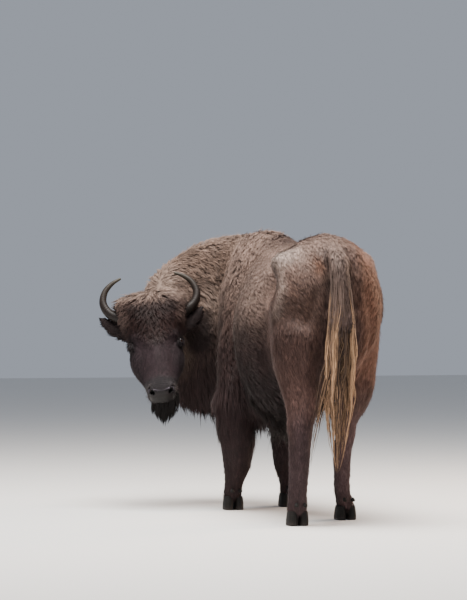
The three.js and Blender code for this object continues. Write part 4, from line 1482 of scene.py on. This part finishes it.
@dataclass
class Beard:
    """The hair that hangs from the chin."""

    chin: tuple[float, float, float] = (0.012, 0.044, -0.298)
    half: float = 0.078
    deep: float = 0.046
    drop: float = 0.150
    strands: int = 1100
    locks: int = 48
    points: int = 8
    seed: int = 5

    def build(self, stance: Stance, material: bpy.types.Material) -> bpy.types.Object:
        """Hangs the beard under the chin.

        Args:
            stance: how the head is held.
            material: the hair's finish.

        Returns:
            The piece.
        """
        rng = np.random.default_rng(self.seed)
        chin = stance.from_head(np.array([self.chin]))[0]
        facing = stance.head_ways(np.array([[0.0, -1.0, 0.0]]))[0] * (1, 1, 0)
        facing /= np.linalg.norm(facing)
        across = np.cross((0, 0, 1.0), facing)
        own = rng.uniform(-1, 1, (self.strands * 2, 2))
        own = own[np.linalg.norm(own, axis=1) < 1][: self.strands]
        count = len(own)
        heads = own[rng.choice(count, self.locks, replace=False)]
        mine = ((own[:, None] - heads[None]) ** 2).sum(axis=2).argmin(axis=1)
        share = np.linspace(0, 1, self.points)
        middle = 1 - np.linalg.norm(own, axis=1) ** 2.0
        length = self.drop * (0.52 + 0.46 * middle) * rng.uniform(0.90, 1.06, self.locks)[mine]
        length = length * rng.uniform(0.86, 1.02, count)
        down = length[:, None] * share
        narrow = np.interp(down, (0, 0.050, 0.090, 0.120, 0.150), (0.98, 0.98, 0.84, 0.60, 0.30))
        wave = 0.005 * np.sin(rng.uniform(0, 6.28, (self.locks, 1))[mine] + share * 6)
        height = 0.048 - (length + 0.048)[:, None] * share
        pull = 0.50 * share**1.4
        place = own[:, None] * (1 - pull[:, None]) + heads[mine][:, None] * pull[:, None]
        side = place[..., 0] * self.half * narrow + wave
        front = place[..., 1] * self.deep * narrow
        paths = chin + across * side[..., None] + facing * front[..., None]
        paths = paths + height[..., None] * np.array((0, 0, 1.0))
        breadth = rng.uniform(0.0030, 0.0050, (count, 1)) * np.interp(share, (0, 0.3, 0.7, 1), (0.8, 1, 0.7, 0))
        tint = linear("0f0c0b") * rng.uniform(0.5, 1.6, (count, 1, 1))
        tint = tint * np.interp(share, (0, 1), (0.6, 1.4))[:, None]
        up = unit(across * own[:, :1] + facing * (own[:, 1:] + 0.2))
        uv = 0.5 + 0.45 * own
        piece = spin_hairs(paths, breadth, up, tint, uv, 0.4, 0.3).piece("beard_hair", material)
        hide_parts("beard")
        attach(piece, BODY)
        return piece


@dataclass(frozen=True)
class Bristles:
    """Stiff single hairs, made by Geometry Nodes: a bent cone on every point, turned along its own way."""

    name: str
    length: float
    radius: float
    bend: float
    seed: int = 7

    def tree(self, material: bpy.types.Material) -> bpy.types.NodeTree:
        """Builds the node tree, with an input for each size and for the seed.

        Args:
            material: the hairs' finish.

        Returns:
            The tree.
        """
        tree = bpy.data.node_groups.new(self.name, "GeometryNodeTree")
        sockets = {"Points": "Geometry", "Length": "Float", "Radius": "Float", "Bend": "Float", "Seed": "Int"}
        for name, kind in sockets.items():
            tree.interface.new_socket(name=name, in_out="INPUT", socket_type=f"NodeSocket{kind}")
        tree.interface.new_socket(name="Hairs", in_out="OUTPUT", socket_type="NodeSocketGeometry")
        given, result = tree.nodes.new("NodeGroupInput").outputs, tree.nodes.new("NodeGroupOutput")
        cone = add_node(tree, "GeometryNodeMeshCone", {
            "Vertices": 5, "Side Segments": 4, "Radius Top": 0.0,
            "Radius Bottom": given["Radius"], "Depth": given["Length"],
        })
        place = tree.nodes.new("GeometryNodeInputPosition").outputs["Position"]
        height = add_node(tree, "ShaderNodeSeparateXYZ", {"Vector": place}).outputs["Z"]
        square, swing = tree.nodes.new("ShaderNodeMath"), tree.nodes.new("ShaderNodeMath")
        square.operation = swing.operation = "MULTIPLY"
        fill(tree, square, {0: height, 1: height})
        fill(tree, swing, {0: square.outputs["Value"], 1: given["Bend"]})
        offset = add_node(tree, "ShaderNodeCombineXYZ", {"X": swing.outputs["Value"]})
        bent = add_node(tree, "GeometryNodeSetPosition", {
            "Geometry": cone.outputs["Mesh"], "Offset": offset.outputs["Vector"],
        })
        way = tree.nodes.new("GeometryNodeInputNamedAttribute")
        way.data_type = "FLOAT_VECTOR"
        fill(tree, way, {"Name": "way"})
        turned = tree.nodes.new("FunctionNodeAlignRotationToVector")
        turned.axis = "Z"
        fill(tree, turned, {"Vector": way.outputs["Attribute"]})
        size = add_node(tree, "FunctionNodeRandomValue", {"Min": 0.65, "Max": 1.15, "Seed": given["Seed"]})
        placed = add_node(tree, "GeometryNodeInstanceOnPoints", {
            "Points": given["Points"], "Instance": bent.outputs["Geometry"],
            "Rotation": turned.outputs["Rotation"],
            "Scale": next(k for k in size.outputs if k.enabled),
        })
        real = add_node(tree, "GeometryNodeRealizeInstances", {"Geometry": placed.outputs["Instances"]})
        finish = add_node(tree, "GeometryNodeSetMaterial", {
            "Geometry": real.outputs["Geometry"], "Material": material,
        })
        fill(tree, result, {"Hairs": finish.outputs["Geometry"]})
        return tree

    def build(
        self, roots: np.ndarray, ways: np.ndarray, tint: str, material: bpy.types.Material
    ) -> bpy.types.Object:
        """Sets one hair on every root.

        Args:
            roots: places.
            ways: the directions in which the hairs stand.
            tint: their display colour.
            material: the hair's finish.

        Returns:
            The piece.
        """
        points = make_object("points", roots, np.zeros((0, 3), int))
        layer = points.data.attributes.new("way", "FLOAT_VECTOR", "POINT")
        layer.data.foreach_set("vector", np.ascontiguousarray(ways, np.float32).ravel())
        modifier = points.modifiers.new("bristles", "NODES")
        tree = self.tree(material)
        modifier.node_group = tree
        sizes = {"Length": self.length, "Radius": self.radius, "Bend": self.bend, "Seed": self.seed}
        for socket in tree.interface.items_tree:
            if socket.name in sizes:
                modifier[socket.identifier] = sizes[socket.name]
        shape = bpy.data.meshes.new_from_object(points.evaluated_get(bpy.context.evaluated_depsgraph_get()))
        bpy.data.objects.remove(points)
        piece = bpy.data.objects.new(self.name, shape)
        bpy.context.scene.collection.objects.link(piece)
        shape.polygons.foreach_set("use_smooth", np.ones(len(shape.polygons), bool))
        paint(piece, "tint", np.tile(linear(tint), (len(shape.vertices), 1)))
        corners = np.empty(len(shape.loops), np.int32)
        shape.loops.foreach_get("vertex_index", corners)
        mine, turn = np.divmod(corners, len(shape.vertices) // len(roots))
        patch = np.stack([(mine + 0.5) / len(roots), np.full(len(mine), 0.5)], 1)
        patch += BAKE_PATCH * np.stack([np.cos(turn), np.sin(turn)], 1)
        (shape.uv_layers.get("OFBake") or shape.uv_layers.new(name="OFBake")).data.foreach_set("uv", patch.ravel())
        shape.materials.clear()
        shape.materials.append(material)
        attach(piece, BODY)
        LOG.info("%s: %d hairs, %d faces", self.name, len(roots), len(shape.polygons))
        return piece


def set_bristles(hide: "Hide", material: bpy.types.Material) -> None:
    """Sets the lashes on the upper lids and the bristles on lips and chin.

    Args:
        hide: the skin they stand on.
        material: the hair's finish.
    """
    rng = np.random.default_rng(61)
    lids = Eyelids()
    pairs = [lids.lashes(side, np.linspace(-0.9, 0.9, 46) * lids.wide) for side in SIDES.values()]
    roots, ways = (np.concatenate(rows) for rows in zip(*pairs))
    ways = unit(ways + rng.normal(0, 0.10, ways.shape))
    stance = hide.stance
    roots, ways = stance.from_head(roots), stance.head_ways(ways)
    Bristles("lashes", 0.017, 0.00050, 18.0).build(roots, ways, "0c0909", material)
    head = stance.in_head(hide.vertices)
    beside = (np.abs(head[:, 0]) > 0.045) | (head[:, 1] > 0.016)
    fit = np.flatnonzero((hide.zone == Zone.LIP.value) & beside & (head[:, 2] < -0.245) & (head[:, 1] < 0.06))
    chosen = rng.choice(fit, 190, replace=False)
    out = unit(hide.normals[chosen] + stance.head_ways(np.array([[0.0, -0.15, -0.55]])))
    out = unit(out + rng.normal(0, 0.12, out.shape))
    Bristles("muzzle_bristles", 0.024, 0.00055, 9.0).build(hide.vertices[chosen], out, "4a4240", material)


# ---- Horns, eyes and hooves ----


def tube(rings: np.ndarray) -> tuple[np.ndarray, np.ndarray]:
    """A closed skin over rings of points, with its faces turned out.

    Args:
        rings: rings by points by 3.

    Returns:
        Vertices and triangles.
    """
    count, points = rings.shape[:2]
    vertices = np.concatenate([rings.reshape(-1, 3), rings[[0, -1]].mean(axis=1)])
    k = np.arange(points)
    ahead = (k + 1) % points
    faces = []
    for level in range(count - 1):
        a, b = level * points + k, level * points + ahead
        faces += [np.stack([a, b, b + points], 1), np.stack([a, b + points, a + points], 1)]
    first, last = count * points, count * points + 1
    faces += [np.stack([np.full(points, first), ahead, k], 1)]
    end = (count - 1) * points
    faces += [np.stack([np.full(points, last), end + k, end + ahead], 1)]
    faces = np.concatenate(faces)
    corner = vertices[faces]
    if np.einsum("ij,ij->i", np.cross(corner[:, 0], corner[:, 1]), corner[:, 2]).sum() < 0:
        faces = faces[:, ::-1]
    return vertices, faces


@dataclass
class Horns:
    """A pair of ringed horns that curve out, up and in."""

    line: tuple[tuple[float, float, float, float], ...] = (
        (0.092, 0.012, 0.170, 0.0355),
        (0.160, 0.010, 0.181, 0.0315),
        (0.224, 0.004, 0.214, 0.0255),
        (0.253, -0.004, 0.273, 0.0205),
        (0.239, -0.012, 0.334, 0.0165),
        (0.197, -0.020, 0.377, 0.0120),
        (0.143, -0.026, 0.403, 0.0060),
    )
    rings: int = 150
    points: int = 40
    ridge: float = 0.0016
    pitch: float = 0.0105

    def build(self, stance: Stance, material: bpy.types.Material) -> None:
        """Makes both horns.

        Args:
            stance: how the head is held.
            material: the horn's finish.
        """
        for name, side in SIDES.items():
            rows = smooth_rows(np.array(self.line), self.rings)
            middle, radius = rows[:, :3] * (side, 1, 1), rows[:, 3]
            run = unit(np.gradient(middle, axis=0))
            deep = unit(np.cross(run, np.cross((0.0, 1.0, 0.0), run)))
            flat = np.cross(run, deep)
            place = np.concatenate([[0], np.cumsum(np.linalg.norm(np.diff(middle, axis=0), axis=1))])
            fade = ease(place, 0.30, 0.10)
            beat = place / self.pitch + 0.25 * np.sin(place * 90)
            proud = self.ridge * fade * (np.abs(np.sin(math.pi * beat)) ** 0.6 - 0.6)
            turn = np.linspace(0, 2 * math.pi, self.points, endpoint=False)
            wobble = 0.0006 * np.sin(turn[None] * 3 + place[:, None] * 40) * fade[:, None]
            size = np.maximum(radius + proud, 0.001)[:, None] + wobble
            round_tip = np.sqrt(np.clip(1 - (np.clip(place - place[-1] + 0.006, 0, None) / 0.006) ** 2, 0.02, 1))
            size = size * round_tip[:, None]
            rings = middle[:, None] + size[..., None] * (
                np.cos(turn)[None, :, None] * flat[:, None] + np.sin(turn)[None, :, None] * deep[:, None]
            )
            vertices, faces = tube(rings)
            piece = make_object(f"horn_{name}_ringed", stance.from_head(vertices), faces)
            share = np.concatenate([np.repeat(place / place[-1], self.points), [0, 1]])
            groove = np.concatenate([np.repeat(np.clip(proud / self.ridge, -0.6, 0.4), self.points), [0, 0]])
            keys = (0.0, 0.28, 0.52, 0.75, 0.93, 1.0)
            tones = np.stack([linear(c) for c in ("120c0a", "150f0c", "1b1411", "26201b", "332e26", "3e3a30")])
            tint = np.stack([np.interp(share, keys, tones[:, k]) for k in range(3)], axis=1)
            paint(piece, "tint", tint * (1 + 0.55 * groove[:, None]))
            piece.data.materials.append(material)
            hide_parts(f"horn_{name}")
            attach(piece, BODY)
            LOG.info("horn %s: %d triangles", name, len(faces))


@dataclass
class Eyes:
    """Dark eyes with a brown iris, a level pupil and a wet surface."""

    iris: float = 0.0125
    white: str = "453c39"
    brown: str = "2e190e"
    black: str = "06070a"
    rings: int = 64
    points: int = 72

    def build(self, stance: Stance, material: bpy.types.Material) -> None:
        """Makes both eyes.

        Args:
            stance: how the head is held.
            material: the eye's finish.
        """
        for name, side in SIDES.items():
            middle, gaze, level, rise = Eyelids().frame(side)
            lat = np.linspace(0.001, math.pi - 0.001, self.rings)
            turn = np.linspace(0, 2 * math.pi, self.points, endpoint=False)
            bulge = 1 + 0.055 * ease(np.sin(lat) * (np.cos(lat) > 0) + (np.cos(lat) <= 0), 0.66, 0.30)
            out = (np.cos(lat) * bulge)[:, None] * np.ones(self.points)
            h = (np.sin(lat) * bulge)[:, None] * np.cos(turn)
            v = (np.sin(lat) * bulge)[:, None] * np.sin(turn)
            unitary = out[..., None] * gaze + h[..., None] * level + v[..., None] * rise
            vertices, faces = tube(middle + Eyelids.radius * unitary)
            piece = make_object(f"eyeball_{name}", stance.from_head(vertices), faces)
            flat = np.concatenate([np.stack([h, v], -1).reshape(-1, 2), [(0, 0), (0, 0)]]) * Eyelids.radius
            front = np.concatenate([np.repeat(np.cos(lat) > 0, self.points), [True, False]])
            far = np.linalg.norm(flat, axis=1)
            pupil = ease(np.hypot(flat[:, 0] / 0.0078, flat[:, 1] / 0.0044), 1.12, 0.90)
            iris = ease(far, self.iris + 0.0006, self.iris - 0.0006) * front
            spokes = 1 + 0.18 * np.sin(np.arctan2(flat[:, 1], flat[:, 0]) * 23) * np.clip(far / self.iris, 0, 1)
            brown = linear(self.brown) * spokes[:, None]
            tint = linear(self.white) * (1 - iris[:, None]) + brown * iris[:, None]
            tint = tint * (1 - (pupil * front)[:, None]) + linear(self.black) * (pupil * front)[:, None]
            paint(piece, "tint", tint)
            piece.data.materials.append(material)
            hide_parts(f"eye_{name}")
            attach(piece, BODY)
            LOG.info("eye %s: %d triangles", name, len(faces))


@dataclass
class Hooves:
    """Cloven hooves with growth lines, and the dewclaws behind them."""

    length: float = 0.104
    width: float = 0.050
    height: float = 0.062
    rings: int = 44
    points: int = 56

    def claw(self, name: str) -> tuple[np.ndarray, np.ndarray]:
        """One claw in the place of its solid.

        Args:
            name: the solid it stands for.

        Returns:
            Vertices and triangles.
        """
        low, high = (np.array(corner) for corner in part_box(name))
        middle_x = (low[0] + high[0]) / 2
        foot_y = (low[1] + high[1]) / 2 + 0.0083
        inner = -1.0 if name.endswith("a") else 1.0
        share = np.linspace(0, 1, self.rings)
        z = share * (self.height + 0.010)
        at = np.clip(z / self.height, 0, 1.16)
        toe = np.interp(at, (0, 0.55, 1, 1.16), (0.575, 0.46, 0.325, 0.27)) * self.length
        heel = np.interp(at, (0, 0.3, 0.7, 1.16), (0.405, 0.42, 0.40, 0.33)) * self.length
        half = np.interp(at, (0, 0.5, 1, 1.16), (0.49, 0.495, 0.45, 0.40)) * self.width
        sole = ease(z, -0.0001, 0.0045)
        squeeze = 0.90 + 0.10 * sole
        growth = 0.0007 * np.sin(z / 0.0062 * 2 * math.pi + 0.8 * np.sin(z * 300)) * ease(z, 0.004, 0.01)
        turn = np.linspace(0, 2 * math.pi, self.points, endpoint=False)
        c, s = np.cos(turn), np.sin(turn)
        power = np.where(s > 0, 2 / 2.6, 2 / 2.1)
        across = np.sign(c) * np.abs(c) ** power
        ahead = np.sign(s) * np.abs(s) ** power
        deep = np.where(s > 0, heel[:, None], toe[:, None])
        toe_in = 0.12 * np.clip(-ahead, 0, 1) ** 2 * self.width * inner
        x = middle_x + across[None] * (half * squeeze + growth)[:, None] + toe_in[None] * (1 - at[:, None]) * 0.35
        y = foot_y + ahead[None] * (deep * squeeze[:, None] + growth[:, None])
        rings = np.stack([x, y, np.broadcast_to(z[:, None], x.shape)], axis=-1)
        rings[0, :, 2] = 0.0
        return tube(rings)

    def dewclaw(self, name: str) -> tuple[np.ndarray, np.ndarray]:
        """One blunt dewclaw inside the box of its solid.

        Args:
            name: the node of the solid.

        Returns:
            Vertices and faces.
        """
        low, high = (np.array(corner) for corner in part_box(name))
        size = (high - low) / 2
        middle = (high + low) / 2
        lat = np.linspace(0.02, math.pi - 0.02, 22)
        turn = np.linspace(0, 2 * math.pi, 28, endpoint=False)
        ring = (np.sin(lat) ** 0.8 * (1 - 0.25 * np.cos(lat)))[:, None]
        line = np.cos(lat)[:, None]
        x = ring * np.cos(turn) * size[0] * 0.80
        y = ring * np.sin(turn) * size[1] * 0.46 - line * size[1] * 0.30 - size[1] * 0.24
        z = np.broadcast_to(line * size[2] * 0.86, x.shape)
        return tube(middle + np.stack([x, y, z], axis=-1))

    def build(self, nodes: dict[str, bpy.types.Object], material: bpy.types.Material) -> None:
        """Makes every claw and dewclaw.

        Args:
            nodes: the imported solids.
            material: the hoof's finish.
        """
        for name in sorted(nodes):
            if not name.startswith(("hoof", "dewclaw")):
                continue
            vertices, faces = self.claw(name) if name.startswith("hoof") else self.dewclaw(name)
            piece = make_object(f"{name}_grown", vertices, faces)
            height = vertices[:, 2:3]
            tint = linear("171412") * (1 - ease(height, 0.03, 0.0)) + linear("302a27") * ease(height, 0.03, 0.0)
            paint(piece, "tint", tint)
            piece.data.materials.append(material)
            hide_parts(name)
            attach(piece, BODY)
        LOG.info("hooves and dewclaws made")


# ---- Finishes ----


@dataclass(frozen=True)
class Finish:
    """A finish that takes its colour from the piece's own attribute and varies it with fine grain."""

    name: str
    roughness: float
    specular: float
    sheen: float = 0.0
    coat: float = 0.0
    grain: float = 90.0
    stretch: tuple[float, float, float] = (1.0, 1.0, 1.0)
    vary: float = 0.2
    bump: float = 0.0
    wet: float = 0.0

    def material(self) -> bpy.types.Material:
        """Builds the node tree.

        Returns:
            The material.
        """
        made = bpy.data.materials.new(self.name)
        made.use_nodes = True
        tree = made.node_tree
        shader = tree.nodes["Principled BSDF"]
        fill(tree, shader, {
            "Roughness": self.roughness, "Specular IOR Level": self.specular,
            "Sheen Weight": self.sheen, "Sheen Roughness": 0.45, "Sheen Tint": (0.86, 0.78, 0.74, 1),
            "Coat Weight": self.coat, "Coat Roughness": 0.04,
        })
        tint = tree.nodes.new("ShaderNodeAttribute")
        tint.attribute_name = "tint"
        place = tree.nodes.new("ShaderNodeTexCoord").outputs["Object"]
        mapping = add_node(tree, "ShaderNodeMapping", {"Scale": self.stretch, "Vector": place})
        noise = add_node(tree, "ShaderNodeTexNoise", {
            "Scale": self.grain, "Detail": 3.0, "Vector": mapping.outputs["Vector"],
        })
        spread = add_node(tree, "ShaderNodeMapRange", {
            "From Min": 0.3, "From Max": 0.7, "To Min": 1 - self.vary, "To Max": 1 + self.vary,
            "Value": noise.outputs["Fac"],
        })
        mixed = tree.nodes.new("ShaderNodeVectorMath")
        mixed.operation = "SCALE"
        fill(tree, mixed, {0: tint.outputs["Color"], "Scale": spread.outputs["Result"]})
        fill(tree, shader, {"Base Color": mixed.outputs["Vector"]})
        if self.wet:
            damp = tree.nodes.new("ShaderNodeAttribute")
            damp.attribute_name = "wet"
            gloss = add_node(tree, "ShaderNodeMapRange", {
                "To Min": self.roughness, "To Max": self.wet, "Value": damp.outputs["Fac"],
            })
            fill(tree, shader, {"Roughness": gloss.outputs["Result"]})
        if self.bump:
            relief = add_node(tree, "ShaderNodeBump", {
                "Strength": self.bump, "Distance": 0.001, "Height": noise.outputs["Fac"],
            })
            fill(tree, shader, {"Normal": relief.outputs["Normal"]})
        return made


FINISHES = {
    "skin": Finish(
        "wisent_skin", 0.75, 0.20, sheen=0.03, grain=260, stretch=(1, 1, 0.35), vary=0.2, bump=0.6, wet=0.38
    ),
    "hair": Finish("wisent_hair", 0.62, 0.16, sheen=0.05, grain=55, vary=0.10),
    "horn": Finish("wisent_horn", 0.50, 0.22, grain=60, vary=0.18, bump=0.3),
    "hoof": Finish("wisent_hoof", 0.62, 0.22, grain=120, stretch=(1, 1, 0.25), vary=0.25, bump=0.4),
    "eye": Finish("wisent_eye", 0.06, 0.6, coat=1.0, grain=900, vary=0.10),
}


# ---- Room ----


@dataclass
class Studio:
    """The floor, the lights and the camera."""

    eye: tuple[float, float, float] = (4.220, 11.908, 1.0)
    ahead: tuple[float, float] = (-0.309, -0.951)
    focal: float = 2463.0
    frame: int = 600
    horizon: float = 21.0

    def camera(self, origin: np.ndarray) -> None:
        """Sets the camera behind the animal's left hip, level with its back.

        Args:
            origin: where the stance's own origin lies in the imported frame.
        """
        data = bpy.data.cameras.new("camera")
        data.sensor_width = 36.0
        data.lens = self.focal / self.frame * 36.0
        data.clip_end = 100.0
        made = bpy.data.objects.new("camera", data)
        rise = math.atan(self.horizon / self.focal)
        heading = math.atan2(self.ahead[1], self.ahead[0]) - math.pi / 2
        made.location = np.array(self.eye) + origin
        made.rotation_euler = (math.pi / 2 + rise, 0.0, heading)
        bpy.context.scene.collection.objects.link(made)
        bpy.context.scene.camera = made

    def light(self, name: str, place: tuple[float, float, float], target: tuple[float, float, float],
              size: float, power: float, colour: str) -> None:
        """Hangs one soft lamp.

        Args:
            name: the lamp's name.
            place: where it hangs.
            target: what it faces.
            size: the length of its side.
            power: in watts.
            colour: its display colour.
        """
        data = bpy.data.lights.new(name, "AREA")
        data.shape, data.size, data.energy = "SQUARE", size, power
        data.color = linear(colour)
        made = bpy.data.objects.new(name, data)
        made.location = place
        way = np.array(target) - np.array(place)
        tilt = math.acos(-way[2] / np.linalg.norm(way))
        made.rotation_euler = (tilt, 0.0, math.atan2(way[1], way[0]) - math.pi / 2)
        bpy.context.scene.collection.objects.link(made)

    def build(self, origin: np.ndarray) -> None:
        """Lays the floor and sets lamps, sky and camera.

        Args:
            origin: the body's origin.
        """
        half = 30.0
        corners = np.array([(-half, -half, 0), (half, -half, 0), (half, half, 0), (-half, half, 0)], float)
        floor = make_object("floor", corners - (0, 0, 0.0005), np.array([[0, 1, 2, 3]]), smooth=False)
        pale = bpy.data.materials.new("pale_floor")
        pale.use_nodes = True
        plain = pale.node_tree.nodes["Principled BSDF"]
        fill(pale.node_tree, plain, {"Base Color": (0.72, 0.71, 0.69, 1), "Roughness": 0.9})
        floor.data.materials.append(pale)
        world = bpy.data.worlds.new("sky")
        world.use_nodes = True
        sky = world.node_tree.nodes["Background"]
        fill(world.node_tree, sky, {"Color": (0.80, 0.87, 1.0, 1), "Strength": 0.42})
        bpy.context.scene.world = world
        self.light("key", (0.6, 0.8, 6.4), (0.0, 0.1, 1.0), 4.2, 1450, "fffaf4")
        self.light("warm_rim", (-4.8, -0.3, 2.6), (0.0, 0.2, 0.9), 2.0, 230, "ffd8b4")
        self.light("fill", (2.6, 8.0, 2.2), (0.0, 0.0, 0.8), 4.0, 45, "eef2ff")
        self.camera(origin)


# ---- The whole ----


def main() -> None:
    """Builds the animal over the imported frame."""
    logging.basicConfig(level=logging.INFO, format="%(name)s: %(message)s")
    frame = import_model()
    stance = Stance.read_frame()
    Studio().build(stance.origin)
    finish = {name: made.material() for name, made in FINISHES.items()}
    hide = Hide(frame["nodes"], stance)
    hide.build()
    skin = hide.dress(finish["skin"])
    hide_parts(*Hide.FLESH, *Hide.LEGS)
    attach(skin, BODY)
    coat = Coat(hide)
    for patch in PATCHES:
        piece = coat.grow(patch, finish["hair"])
        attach(piece, BODY)
    Tassel().build(stance.origin, finish["hair"])
    Beard().build(stance, finish["hair"])
    set_bristles(hide, finish["hair"])
    Horns().build(stance, finish["horn"])
    Eyes().build(stance, finish["eye"])
    Hooves().build(frame["nodes"], finish["hoof"])
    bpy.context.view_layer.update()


if __name__ == "__main__":
    main()
